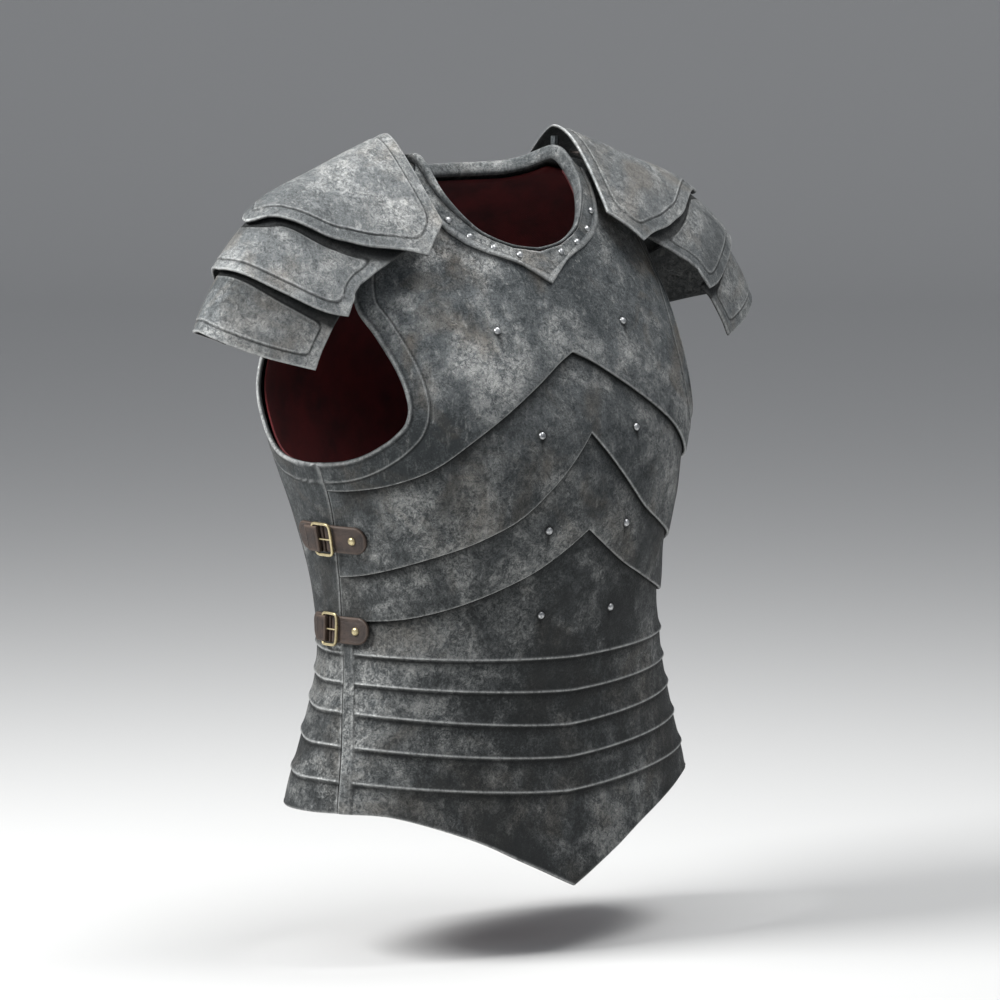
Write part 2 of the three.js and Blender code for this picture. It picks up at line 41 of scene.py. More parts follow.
LINING_GAP, LINING = 2.8, 1.5  # gap between plate and lining, and thickness of the lining
GAP = 0.9  # clearance between a plate and the one that runs under it
TUCK, RAMP = 12.0, 38.0  # how far a plate runs under, and the height over which it comes out again
SQUARE = 2.15  # exponent of the body's cross section, which would be 2 for an ellipse
RIDGE_Z, RIDGE_SPLIT = -12.0, 0.12  # shoulder crest, where the plates meet, and half of their gap there
DROOP = 0.0012  # fall of the shoulders away from the middle, over the distance squared
DROOP_FOOT, DROOP_RISE = -230.0, 180.0  # height where that begins, and how far above it is full
BACK_HEM = -535.0
SEAM_GAP = 0.45  # angle between front and back plates at the sides
LAP = 14.0  # overlap of the shoulder lames along the ridge
ARCH_REACH = 65.0  # sideways reach at which ARCH gives the drop
ROLL_AT, ROLL = 1.8, 1.9  # middle and half width of the armholes' rolled edge
ARM_LINE = 16.5  # from an armhole's edge to the raised line around it

# height, half width, depth to the front, depth to the back
BODY = np.array([
    (-12, 150, 0, 0), (-16, 152, 8, 18), (-26, 155, 19, 40), (-42, 160, 33, 66), (-62, 166, 46, 90),
    (-88, 175, 61, 112), (-120, 186, 80, 132), (-150, 194, 96, 146), (-200, 199, 118, 158),
    (-250, 187, 131, 152), (-310, 170, 126, 128), (-370, 162, 113, 101), (-420, 165, 105, 85),
    (-480, 183, 100, 85), (-530, 200, 99, 90), (-570, 205, 103, 94), (-610, 207, 109, 100)], float)

# lower edges of the front plates: angle from the front centre, height
EDGE_UPPER = [(0, -170), (5, -178), (10, -188), (22.5, -212.5), (36, -237), (48, -257), (62, -270),
              (75, -276), (90, -279)]
EDGE_MIDDLE = [(0, -234), (3, -244.5), (8.7, -263), (15.2, -281), (22.5, -298), (35, -315.5), (54, -332),
               (75, -345), (90, -350)]
EDGE_LOWER = [(0, -313), (7.4, -328), (15.7, -342.5), (27.6, -357), (47, -373.5), (60, -380), (75, -383),
              (90, -384)]
HEM = [(0, -606), (3, -602), (11.7, -590), (20, -579), (29, -567), (44, -552), (53, -545), (63, -539),
       (90, -535)]
# side seam: height, angle
SEAM = [(-610, 71), (-560, 71), (-520, 72.5), (-480, 77), (-440, 82.5), (-390, 87), (-340, 88), (-285, 87),
        (-200, 90), (-12, 90)]
# ribs: height at the front centre, the sides and the back
RIBS = [(-418, -410, -406), (-446, -433, -427), (-474, -456, -448), (-501, -482, -474), (-529, -509, -504)]
# openings on the skin: angle, height
NECK = [(0, -92), (8.5, -87.5), (14.7, -79.5), (18.7, -72.5), (22.4, -62.5), (26.4, -49.5), (29.4, -38),
        (31, -27), (31.8, -16), (32, -12.05)]
NECK_BACK = [(148, -12.05), (149, -17), (152, -24), (157, -29.5), (165, -33), (180, -35)]
ARM_FRONT = [(70, -12.05), (69.5, -30), (70.5, -60), (70, -85), (67.5, -105), (59, -134), (55, -153),
             (52, -173), (50.8, -190), (51.3, -207), (53.3, -218), (57.5, -229), (64, -239.5), (70, -246.5),
             (76.5, -251.5), (83, -254), (89.7, -255.5)]
ARM_BACK = [(110, -12.05), (110.5, -16), (113, -30), (119, -60), (124.5, -104), (127, -150), (127, -178),
            (125.5, -205), (122, -226), (116, -240), (110, -249), (102, -254), (93, -256), (90.3, -256)]
# outer edge of the collar band, which lies around the neck opening
COLLAR = [(0, -118), (4.8, -107.5), (8, -101), (11.6, -96), (17.5, -89), (23.9, -79), (29.5, -66),
          (33.5, -50), (36.5, -34), (38, -20), (38.5, -12.4)]
# rivets of the left side: angle, height
BREAST_RIVETS = [(20.8, -148), (15.6, -233.5), (14.4, -311), (13.6, -381)]
COLLAR_RIVETS = [(7.3, -94), (15.1, -86), (22, -74.4), (28.1, -58.2)]
# left shoulder's ridge from the neck outwards: run, x, y, z
SHOULDER = [(0, 91, 18, 4), (20, 110, 18, -2), (41, 130, 18, -9), (62.5, 150, 18, -16.5),
            (86, 172, 17.8, -24.5), (110, 195, 17.4, -32), (132.5, 216, 16, -40), (153, 234, 13.5, -50),
            (172, 249, 11.5, -62), (192, 263, 9.6, -76), (210.5, 275, 8.4, -90), (228.5, 285, 7.5, -105),
            (247, 294, 6.8, -121), (264.5, 301, 6.2, -137), (280, 306, 5.6, -152), (293.5, 309, 5.2, -165)]
# arch of the lames across the ridge: run, drop at ARCH_REACH, radius of the crest
ARCH = [(0, 67, 30), (57, 56, 38), (120, 64, 50), (196, 77, 56), (289, 91, 70)]
# where each lame ends along the ridge, against sideways reach
TOP_END = [(0, 168), (8, 164), (15, 155), (28, 143), (45, 126), (61, 97), (75, 70), (82, 58)]
MID_END = [(0, 216), (20, 213), (43, 210), (60, 202), (74, 184)]
LOW_END_FRONT = [(0, 270), (15, 273), (40, 279), (61, 285)]
LOW_END_BACK = [(0, 270), (15, 270), (40, 266), (61, 260)]
# straps at the sides: height
STRAPS = {"upper": -317.0, "lower": -391.5}
SIDES = ((1, "left"), (-1, "right"))


# ---------------- curves and the body's skin
def mix(a, b, t):
    return a + (b - a) * t


def smooth(t):
    t = np.clip(t, 0, 1)
    return t * t * (3 - 2 * t)


def peak(d, middle, width):
    """Soft bump of height 1 around one distance."""
    return np.exp(-((d - middle) / width) ** 2)


def unit(v):
    return v / np.maximum(np.linalg.norm(v, axis=-1, keepdims=True), 1e-9)


def hermite(t, start, start_slope, end, end_slope):
    return ((2 * t**3 - 3 * t**2 + 1) * start + (t**3 - 2 * t**2 + t) * start_slope
            + (3 * t**2 - 2 * t**3) * end + (t**3 - t**2) * end_slope)


def curve(rows, col=1, key=lambda k: k):
    """Smooth curve through one column of a table, by its first column."""
    pts = sorted((float(key(r[0])), float(r[col])) for r in rows)
    x = np.array([p[0] for p in pts])
    y = np.array([p[1] for p in pts])
    h = np.diff(x)
    d = np.diff(y) / h
    slope = np.r_[d[0], (d[:-1] * h[1:] + d[1:] * h[:-1]) / (h[:-1] + h[1:]), d[-1]]

    def at(q):
        q = np.asarray(q, float)
        i = np.clip(np.searchsorted(x, q, side="right") - 1, 0, len(x) - 2)
        return hermite((q - x[i]) / h[i], y[i], h[i] * slope[i], y[i + 1], h[i] * slope[i + 1])
    return at


def level(z):
    """Root of the depth below the ridge, by which the skin and its tables run evenly over the crest."""
    return np.sqrt(np.maximum(0, RIDGE_Z - np.asarray(z, float)))


def with_level(angle, z):
    """Points of the skin as angle and level, on the last axis."""
    return np.stack([angle, level(z)], -1)


half_width, front_depth, back_depth = (curve(BODY, c, level) for c in (1, 2, 3))
seam, hem = curve(SEAM), curve(HEM)
edge_upper, edge_middle, edge_lower = curve(EDGE_UPPER), curve(EDGE_MIDDLE), curve(EDGE_LOWER)


def bare(angle, w):
    """Point of the skin at an angle from the front centre, and a level."""
    a = np.radians(angle)
    s = np.sin(a)
    g = np.maximum(0, 1 - np.abs(s) ** SQUARE) ** (1 / SQUARE)
    x = half_width(w) * s
    z = RIDGE_Z - w * w
    y = np.where(np.cos(a) > 0, -front_depth(w) * g, back_depth(w) * g)
    return np.stack([x, y, z - DROOP * x * x * np.clip((z - DROOP_FOOT) / DROOP_RISE, 0, 1)], -1)


def normal_at(angle, w):
    above = np.maximum(0, w - 0.05)
    down = bare(angle, above + 0.1) - bare(angle, above)
    return unit(np.cross(down, bare(angle + 0.4, w) - bare(angle - 0.4, w)))


def on_skin(aw, off=0.0):
    """Points at an angle and level, off mm outside the skin."""
    angle, w = aw[..., 0], aw[..., 1]
    return bare(angle, w) + normal_at(angle, w) * np.asarray(off, float)[..., None]


def skin(angle, z, off=0.0):
    """The same by angle and height."""
    angle, z = np.broadcast_arrays(np.asarray(angle, float), np.asarray(z, float))
    return on_skin(with_level(angle, z), off)


def lengths(points):
    """Length along a polyline up to each of its points."""
    return np.r_[0, np.cumsum(np.linalg.norm(np.diff(points, axis=0), axis=1))]


def read_along(q, x, points):
    """Every column of a list of points, read at q, where x is the place of each point."""
    return np.stack([np.interp(q, x, column) for column in points.T], 1)


def resample(line, q):
    return read_along(q, np.linspace(0, 1, len(line)), line)


def polyline(rows, n=200):
    """Even points along a smooth line through a table of angle and height, as angle and level."""
    rows = np.array(rows, float)
    aw = with_level(rows[:, 0], rows[:, 1])
    run = lengths(bare(aw[:, 0], aw[:, 1]))
    angle, w = curve(list(zip(run, aw[:, 0]))), curve(list(zip(run, aw[:, 1])))
    q = np.linspace(0, run[-1], n)
    return np.stack([angle(q), np.maximum(w(q), 0)], 1)


def evened(*parts):
    """400 even points through several polylines in angle and level, by length on the skin."""
    aw = np.concatenate(parts)
    place = bare(aw[:, 0], aw[:, 1])
    keep = np.r_[True, np.linalg.norm(np.diff(place, axis=0), axis=1) > 1e-6]
    run = lengths(place[keep])
    return read_along(np.linspace(0, 1, 400), run / run[-1], aw[keep])


def mirrored(aw):
    return aw * np.array([-1, 1])


def on_side(points, side):
    """Points of the left side, or their mirror images where side is -1."""
    return np.asarray(points) * np.array([side, 1, 1])


def flipped(aw):
    """Angles counted from the back centre instead of the front, or the other way round."""
    aw = np.array(aw, float)
    aw[..., 0] = 180 - aw[..., 0]
    return aw


def near(points, line):
    """Distance from each point of a grid to a polyline, mm."""
    p = points.reshape(-1, 3)
    best = np.full(len(p), 1e9)
    for a, ab in zip(line, np.diff(line, axis=0)):
        t = np.clip(((p - a) @ ab) / max(ab @ ab, 1e-9), 0, 1)
        best = np.minimum(best, np.linalg.norm(p - (a + t[:, None] * ab), axis=1))
    return best.reshape(points.shape[:-1])


def rounded(d, reach=1.3, depth=0.75):
    """Offset that rounds a plate's outer face over its free edge, d mm away."""
    t = np.clip(1 - d / reach, 0, 1)
    return -depth * t * t


def square_ring(n, power):
    """Cosines and sines around a section that gets squarer as the power falls below 1."""
    t = np.linspace(0, 2 * np.pi, n + 1)[:-1]
    return [np.sign(f) * np.abs(f) ** power for f in (np.cos(t), np.sin(t))]


# ---------------- mesh building
def new_object(name, verts, faces, mat, marks, node):
    """Mesh of points in mm, shown in place of a node; marks are numbers for every point."""
    mesh = bpy.data.meshes.new(name)
    mesh.from_pydata((np.asarray(verts, float) * 0.001).tolist(), [], faces)
    mesh.update()
    for key, values in marks.items():
        layer = mesh.attributes.new(key, "FLOAT", "POINT")
        layer.data.foreach_set("value", np.asarray(values, np.float32))
    mesh.polygons.foreach_set("use_smooth", [True] * len(mesh.polygons))
    obj = bpy.data.objects.new(name, mesh)
    bpy.context.scene.collection.objects.link(obj)
    mesh.materials.append(mat)
    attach(obj, "root")
    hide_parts(node)


def outward(verts, faces):
    """Faces turned round if they enclose a negative volume."""
    a, b, c, d = (verts[faces[:, k]] for k in range(4))
    volume = np.einsum("ij,ij->i", a, np.cross(b, c)).sum() + np.einsum("ij,ij->i", a, np.cross(c, d)).sum()
    return faces if volume > 0 else faces[:, ::-1]


def grid_faces(n, m):
    i, j = np.meshgrid(np.arange(n - 1), np.arange(m - 1), indexing="ij")
    k = i * m + j
    return np.stack([k, k + 1, k + m + 1, k + m], -1).reshape(-1, 4)


def shell_faces(n, m):
    """Faces of a closed slab between two n by m grids."""
    half = n * m
    i, j = np.arange(n - 1) * m, np.arange(m - 1)
    last_column, last_row = m - 1, (n - 1) * m

    def wall(a, b):
        return np.stack([a, b, b + half, a + half], -1)
    return np.concatenate([grid_faces(n, m), grid_faces(n, m)[:, ::-1] + half, wall(i, i + m),
                           wall(i + m + last_column, i + last_column), wall(j + 1, j),
                           wall(last_row + j, last_row + j + 1)])


def close_shell(name, top, under, mat, marks, node):
    """Slab between two point grids; marks are grids for the outer face, from 0 to 1."""
    n, m = top.shape[:2]
    verts = np.concatenate([top.reshape(-1, 3), under.reshape(-1, 3)])
    faces = outward(verts, shell_faces(n, m)).tolist()
    full = {}
    for key, grid in marks.items():
        outside = np.clip(np.broadcast_to(grid, (n, m)).astype(float), 0, 1).ravel()
        # the inner face is painted in shade, and gets a third of the outer face's wear and highlight
        inside = np.full(n * m, 0.8) if key == "shade_and_dirt" else outside * 0.3
        full[key] = np.concatenate([outside, inside])
    new_object(name, verts, faces, mat, full, node)


def loft(name, rings, mat, marks, node, closed=True):
    """Tube through rings of points, joined end to end or else with a cap on each end."""
    rings = np.asarray(rings)
    n, m = rings.shape[:2]
    i, j = np.meshgrid(np.arange(n if closed else n - 1), np.arange(m), indexing="ij")
    next_i, next_j = (i + 1) % n, (j + 1) % m
    sides = np.stack([i * m + j, i * m + next_j, next_i * m + next_j, next_i * m + j], -1).reshape(-1, 4)
    verts = rings.reshape(-1, 3)
    faces = outward(verts, sides).tolist()
    if not closed:
        turned_round = faces[0] != sides[0].tolist()
        first, last = list(range(m)), [(n - 1) * m + q for q in range(m)]
        faces.append(first if turned_round else first[::-1])
        faces.append(last[::-1] if turned_round else last)
    new_object(name, verts, faces, mat, marks, node)


# ---------------- materials
class Tree:
    """Short way to build a shader tree."""

    def __init__(self, name):
        self.mat = bpy.data.materials.new(name)
        self.mat.use_nodes = True
        self.nt = self.mat.node_tree
        self.nt.nodes.clear()
        self.bsdf = self.node("BsdfPrincipled")
        self.nt.links.new(self.bsdf.outputs[0], self.node("OutputMaterial").inputs[0])
        self.coord = self.node("TexCoord").outputs["Object"]

    def node(self, kind, **values):
        n = self.nt.nodes.new("ShaderNode" + kind)
        for name, value in values.items():
            self.feed(value, n.inputs[name])
        return n

    def feed(self, value, socket):
        if isinstance(value, bpy.types.NodeSocket):
            self.nt.links.new(value, socket)
        else:
            socket.default_value = value

    def noise(self, scale, detail=4.0, rough=0.55, vector=None, distortion=0.0):
        return self.node("TexNoise", Scale=scale, Detail=detail, Roughness=rough, Distortion=distortion,
                         Vector=self.coord if vector is None else vector).outputs["Fac"]

    def stretch(self, scale, shift):
        return self.node("Mapping", Scale=scale, Location=shift, Vector=self.coord).outputs["Vector"]

    def math(self, op, *values):
        n = self.node("Math")
        n.operation = op
        for i, value in enumerate(values):
            self.feed(value, n.inputs[i])
        return n.outputs[0]

    def times(self, a, b):
        return self.math("MULTIPLY", a, b)

    def weighted(self, a, share_a, b, share_b):
        return self.math("MULTIPLY_ADD", a, share_a, self.times(b, share_b))

    def span(self, value, a, b, lo=0.0, hi=1.0):
        """A value's place between a and b, as a number from lo to hi."""
        n = self.node("MapRange")
        n.clamp = True
        for i, v in enumerate((value, a, b, lo, hi)):
            self.feed(v, n.inputs[i])
        return n.outputs[0]

    def blend(self, fac, a, b):
        n = self.node("Mix")
        n.data_type = "RGBA"
        n.clamp_result = True
        for i, value in ((0, fac), (6, a), (7, b)):
            self.feed(value, n.inputs[i])
        return n.outputs[2]

    def attr(self, name):
        n = self.node("Attribute")
        n.attribute_name = name
        return n.outputs["Fac"]

    def bump(self, height, strength, distance):
        return self.node("Bump", Strength=strength, Distance=distance, Height=height).outputs[0]

    def done(self, color, rough, metal, normal):
        inputs = {"Base Color": color, "Roughness": rough, "Metallic": metal, "Normal": normal}
        for name, value in inputs.items():
            self.feed(value, self.bsdf.inputs[name])
        return self.mat


def steel_material(name, shift=0.0):
    """Weathered steel: dark blotches, chalky scuffed patches, fine cracks and stains, with painted shade low
    on the trunk and the painted shade and highlights carried on the mesh.
    """
    dark, mid, pale = (0.040, 0.047, 0.050, 1), (0.175, 0.188, 0.192, 1), (0.60, 0.60, 0.57, 1)
    brown, pitted, low_shade_tone = (0.19, 0.155, 0.115, 1), (0.016, 0.018, 0.019, 1), (0.024, 0.026, 0.026, 1)
    wear_and_highlight_tone, shade_and_dirt_tone = (0.52, 0.53, 0.52, 1), (0.007, 0.008, 0.008, 1)
    even = (1, 1, 1)
    t = Tree(name)
    base = t.stretch(even, (shift, shift * 0.7, 0))
    big = t.noise(8, 3, 0.5, base)
    cloud = t.noise(24, 5, 0.6, base, 0.5)
    patch = t.noise(75, 7, 0.72, base, 0.5)
    crumple = t.noise(210, 6, 0.75, base, 1.6)
    grit = t.noise(650, 4, 0.7, base)
    brush = t.noise(260, 5, 0.7, t.stretch((1, 1, 0.22), (shift, 0, 0)), 0.4)
    wear_and_highlight, shade_and_dirt = t.attr("wear_and_highlight"), t.attr("shade_and_dirt")

    # dark and middle tones, in blotches of several sizes
    tone = t.weighted(cloud, 0.5, patch, 0.5)
    tone = t.math("ADD", tone, t.math("MULTIPLY_ADD", big, 0.5, -0.25))
    fine_tone = t.math("MULTIPLY_ADD", crumple, 0.55, t.math("MULTIPLY_ADD", grit, 0.45, -0.5))
    mottle = t.math("ADD", tone, fine_tone)
    col = t.blend(t.span(mottle, 0.34, 0.64), dark, mid)
    # chalky scuffs, in patches that are broken up by the crumpled surface
    area = t.span(t.weighted(big, 0.45, cloud, 0.55), 0.48, 0.59)
    scuff = t.span(t.weighted(crumple, 0.6, patch, 0.4), 0.44, 0.62)
    col = t.blend(t.times(t.times(scuff, area), 0.85), col, pale)
    scrape = t.times(t.span(brush, 0.55, 0.68), t.span(patch, 0.42, 0.6))
    col = t.blend(t.times(scrape, 0.4), col, pale)
    # brown stains
    stain = t.span(t.noise(15, 4, 0.6, t.stretch(even, (shift + 3, 1, 2)), 0.8), 0.52, 0.66)
    stain = t.times(stain, t.span(crumple, 0.35, 0.6, 0.15, 0.5))
    col = t.blend(stain, col, brown)
    # dark cracks and pits
    crack = t.math("ABSOLUTE", t.math("SUBTRACT", t.noise(120, 5, 0.7, base, 1.8), 0.5))
    crack = t.times(t.span(crack, 0.0, 0.022, 1.0, 0.0), t.span(cloud, 0.4, 0.55))
    pit = t.span(t.noise(330, 5, 0.7, base, 0.8), 0.32, 0.43, 1.0, 0.0)
    hollow = t.math("MAXIMUM", crack, pit)
    col = t.blend(t.times(hollow, 0.7), col, pitted)
    # painted shade: darker low on the trunk, broken up by the blotches
    place = t.node("SeparateXYZ", Vector=t.coord)
    low = t.span(place.outputs[2], -0.17, -0.38, 0.0, 1.0)
    painted_low_shade = t.weighted(mottle, 0.5, t.math("ADD", big, cloud), 0.25)
    painted_low_shade = t.times(low, t.span(painted_low_shade, 0.44, 0.60, 0.90, 0.38))
    col = t.blend(painted_low_shade, col, low_shade_tone)
    # edges worn bright, with a painted highlight on crests and raised lines, then painted shade in grooves,
    # under overlapping edges and on inner faces, with the dirt runs below the rivets
    rubbed = t.weighted(brush, 0.5, crumple, 0.5)
    worn_and_highlit = t.times(wear_and_highlight, t.span(rubbed, 0.38, 0.55, 0.35, 1))
    col = t.blend(worn_and_highlit, col, wear_and_highlight_tone)
    col = t.blend(t.times(shade_and_dirt, 0.95), col, shade_and_dirt_tone)
    rough = t.span(mottle, 0.35, 0.7, 0.68, 0.50)
    rough = t.math("SUBTRACT", rough, t.times(worn_and_highlit, 0.10))
    height = t.weighted(patch, 0.6, crumple, 0.5)
    height = t.math("SUBTRACT", height, t.times(hollow, 0.3))
    height = t.math("ADD", height, t.times(grit, 0.25))
    return t.done(col, rough, 0.55, t.bump(height, 0.75, 0.0016))


def leather_material():
    dark, brown, scuffed = (0.016, 0.011, 0.009, 1), (0.055, 0.036, 0.028, 1), (0.11, 0.075, 0.055, 1)
    t = Tree("dark_leather")
    grain = t.node("TexVoronoi", Scale=900, Vector=t.coord).outputs["Distance"]
    cloud = t.noise(90, 5, 0.6)
    col = t.blend(t.span(cloud, 0.35, 0.68), dark, brown)
    col = t.blend(t.times(t.attr("wear_and_highlight"), 0.5), col, scuffed)
    height = t.math("ADD", t.times(grain, 0.6), cloud)
    return t.done(col, t.span(cloud, 0.3, 0.7, 0.5, 0.72), 0.0, t.bump(height, 0.5, 0.0008))


def brass_material():
    tarnished, yellow, bright = (0.14, 0.10, 0.045, 1), (0.52, 0.43, 0.22, 1), (0.75, 0.66, 0.42, 1)
    t = Tree("aged_brass")
    cloud = t.noise(160, 5, 0.65)
    col = t.blend(t.span(cloud, 0.38, 0.62), tarnished, yellow)
    col = t.blend(t.times(t.attr("wear_and_highlight"), 0.6), col, bright)
    return t.done(col, t.span(cloud, 0.3, 0.7, 0.5, 0.3), 0.85, t.bump(t.noise(500, 3), 0.2, 0.0005))


def cloth_material():
    dark, red, shadow = (0.052, 0.006, 0.007, 1), (0.135, 0.012, 0.013, 1), (0.02, 0.001, 0.002, 1)
    t = Tree("red_lining")
    weave = t.node("TexWave", Scale=320, Distortion=1.5, Vector=t.coord).outputs["Fac"]
    cloud = t.noise(30, 4, 0.6)
    col = t.blend(t.span(cloud, 0.3, 0.7), dark, red)
    col = t.blend(t.times(weave, 0.25), col, shadow)
    return t.done(col, 0.95, 0.0, t.bump(weave, 0.3, 0.0006))


def rivet_material():
    dull, bright, foot_shade_tone = (0.20, 0.21, 0.22, 1), (0.62, 0.63, 0.63, 1), (0.03, 0.03, 0.032, 1)
    t = Tree("rivet_steel")
    cloud = t.noise(400, 4, 0.6)
    col = t.blend(t.span(cloud, 0.35, 0.6), dull, bright)
    # painted shade at the foot of each head
    col = t.blend(t.times(t.attr("shade_and_dirt"), 0.9), col, foot_shade_tone)
    return t.done(col, t.span(cloud, 0.3, 0.7, 0.42, 0.28), 0.85, t.bump(cloud, 0.2, 0.0004))


STEEL = steel_material("weathered_steel")
STEEL_B = steel_material("weathered_steel_b", 2.7)
STEEL_C = steel_material("weathered_steel_c", 5.1)
LEATHER, BRASS, CLOTH, RIVET = leather_material(), brass_material(), cloth_material(), rivet_material()


# ---------------- body plates
RIB_RISE, RIB_SLOPE, RIB_FACE = 1.9, 9.0, 1.9  # height of a rib, its long slope above, its short one below
RIB_HEAD, RIB_FOOT = 12, 4.5  # where the belly plate's rows between two ribs end below and start above
# rows of the belly plate and the back plate on each rib, from above it to below it
BELLY_ROWS = (10, 8, 6, 4.5, 3, 2, 1.1, 0.5, 0, -0.5, -1.0, -1.5, -2.1, -3.0, -4.2)
BACK_ROWS = (10.5, 8, 5.8, 4, 2.6, 1.6, 0.8, 0.3, -0.1, -0.6, -1.1, -1.7, -2.6, -4.2)
FRONT_SPAN = 88  # angle up to which the edge curves are read, whatever the seam's angle is
NEAR_SEAM = np.array([0.9965, 0.9985])  # extra columns beside the front plates' seams
CREST = np.array([[32.0, 0.05], [45, 0.05], [58, 0.05], [70, 0.05]])  # shoulder crest: angle, level
WAIST_ROW = -388.0  # height below which the back plate's rows follow its ribs
SKIN_SCALE = np.array([3.1, 17.0])  # about how many mm a degree and a level are


def rib_height(rib, angle):
    a = np.abs(angle)
    front = mix(rib[0], rib[1], np.sin(np.radians(np.minimum(a, 90))) ** 1.3)
    return np.where(a < 90, front, mix(rib[1], rib[2], smooth((a - 90) / 30)))


def rib_relief(angle, z):
    """Height of the ribs, with a painted highlight along the crest and painted shade at the foot below it."""
    height, crest, foot = np.zeros((3, *z.shape))
    for rib in RIBS:
        d = z - rib_height(rib, angle)
        up = np.clip(1 - d / RIB_SLOPE, 0, 1) ** 1.6
        down = smooth(1 + d / RIB_FACE)
        height = np.maximum(height, np.where(d >= 0, up, down) * RIB_RISE)
        crest = np.maximum(crest, peak(d, 0.2, 0.8))
        foot = np.maximum(foot, peak(d, -2.6, 1.5) + 0.45 * peak(d, -5, 4.0))
    return height, crest, foot


def rivet_marks(base):
    """Painted shade in a ring around the foot of each breast rivet, with a short run of dirt below it."""
    total = np.zeros(base.shape[:2])
    for angle, z in BREAST_RIVETS:
        for side, _ in SIDES:
            spot = skin(side * angle, z)
            away = np.linalg.norm(base - spot, axis=-1)
            across, down = base[..., 0] - spot[0], spot[2] - base[..., 2]
            run = smooth(down / 2) * np.exp(-np.maximum(down - 6, 0) / 5)
            total += 0.75 * peak(away, 3.6, 1.1) + np.where(away < 30, 1.6 * peak(across, 0, 1.4) * run, 0)
    return np.clip(total, 0, 1)


def plain_rows(z_top, z_low, n, depth=90.0):
    """Rows of a plate from edge to edge, closer together at both; depth is about how deep it is."""
    ends = np.array([0, 0.5, 1.4, 2.6]) / depth
    inner = np.linspace(4.2 / depth, 1 - 4.2 / depth, n)
    return mix(z_top[:, None], z_low[:, None], np.r_[ends, inner, 1 - ends[::-1]])


def ribbed_rows(z_top, z_low, angle):
    """Rows of the belly plate, closer together on each rib."""
    lines = [rib_height(rib, angle) for rib in RIBS]
    above = np.r_[0, 0.008, 0.02, np.linspace(0.04, 1, 38)]
    below = np.r_[np.linspace(0.12, 0.9, 12), 0.955, 0.98, 0.993, 1]
    rows = [mix(z_top, lines[0] + RIB_HEAD, v) for v in above]
    for k, line in enumerate(lines):
        if k:
            rows += [mix(lines[k - 1] - RIB_FOOT, line + RIB_HEAD, v) for v in (0.2325, 0.465, 0.6975, 0.93)]
        rows += [line + d for d in BELLY_ROWS]
    rows += [mix(lines[-1] - RIB_FOOT, z_low, v) for v in below]
    return np.stack(rows, 1)


def front_plate(name, top, bottom, mat, rows=None, columns=110):
    """Plate from under one edge down to the next; without a number of rows it is the ribbed belly plate."""
    ribbed = rows is None
    c = np.linspace(-1, 1, columns * 2 + 1)
    c = np.unique(np.r_[c, NEAR_SEAM, -NEAR_SEAM])[:, None]
    edge_angle = np.abs(c[:, 0]) * FRONT_SPAN
    # towards the sides the plates come to lie edge to edge
    tuck = mix(TUCK, -0.3, np.clip((np.abs(c[:, 0]) - 0.76) / 0.1, 0, 1))
    z_top, z_low = top(edge_angle) + tuck, bottom(edge_angle)
    z = ribbed_rows(z_top, z_low, edge_angle) if ribbed else plain_rows(z_top, z_low, rows)
    angle = c * seam(z)
    under = top(edge_angle)[:, None] - z
    fade = 1 - np.clip((np.abs(c) - 0.92) / 0.08, 0, 1)
    sunk = (1 - smooth((under + 1) / RAMP)) * fade * (PLATE + GAP)
    base = skin(angle, z)
    d_low = near(base, base[:, -1])
    d_side = np.minimum(near(base, base[0]), near(base, base[-1]))
    below = np.maximum(under, 0)
    raised = rounded(d_low) + rounded(d_side, 1.0, 0.5)
    wear_and_highlight = 0.9 * peak(d_low, 0, 0.9) + 0.4 * peak(d_side, 0, 1.0)
    # painted shadow under the edge of the plate above, fading as the plate comes out, and the marks around
    # the rivets
    shade_and_dirt = (0.6 * np.exp(-below / 2.6) + 0.65 * np.exp(-below / 15)) * fade + rivet_marks(base)
    if ribbed:
        # the ribs stop short of a flat strip along each side, and the hem has a bead
        height, crest, foot = rib_relief(angle, z)
        keep = smooth((d_side - 9.5) / 3.0)
        lower = smooth((under - 10) / 8)
        strip = 0.5 * smooth((9.4 - d_side) / 0.9) * lower
        raised = raised + height * keep + strip + 0.7 * peak(d_low, 1.6, 1.6)
        # painted highlight along the rib crests and the strip's step; painted shade at the rib feet and below
        # the step
        wear_and_highlight = wear_and_highlight + 0.95 * crest * keep + 0.3 * peak(d_side, 8.9, 0.7) * lower
        shade_and_dirt = shade_and_dirt + 0.75 * foot * keep + 0.6 * peak(d_side, 10.6, 0.9) * lower
    outer, inner = skin(angle, z, raised - sunk), skin(angle, z, -PLATE - sunk)
    close_shell(name + "_skin", outer, inner, mat, {"wear_and_highlight": wear_and_highlight, "shade_and_dirt": shade_and_dirt}, name)


def cubic(grid, q, axis):
    """Smooth resampling of an even grid along one axis."""
    g = np.moveaxis(grid, axis, 0)
    slope = np.gradient(g, axis=0)
    x = q * (len(g) - 1)
    i = np.clip(np.floor(x).astype(int), 0, len(g) - 2)
    t = (x - i).reshape(-1, *([1] * (g.ndim - 1)))
    return np.moveaxis(hermite(t, g[i], slope[i], g[i + 1], slope[i + 1]), 0, axis)


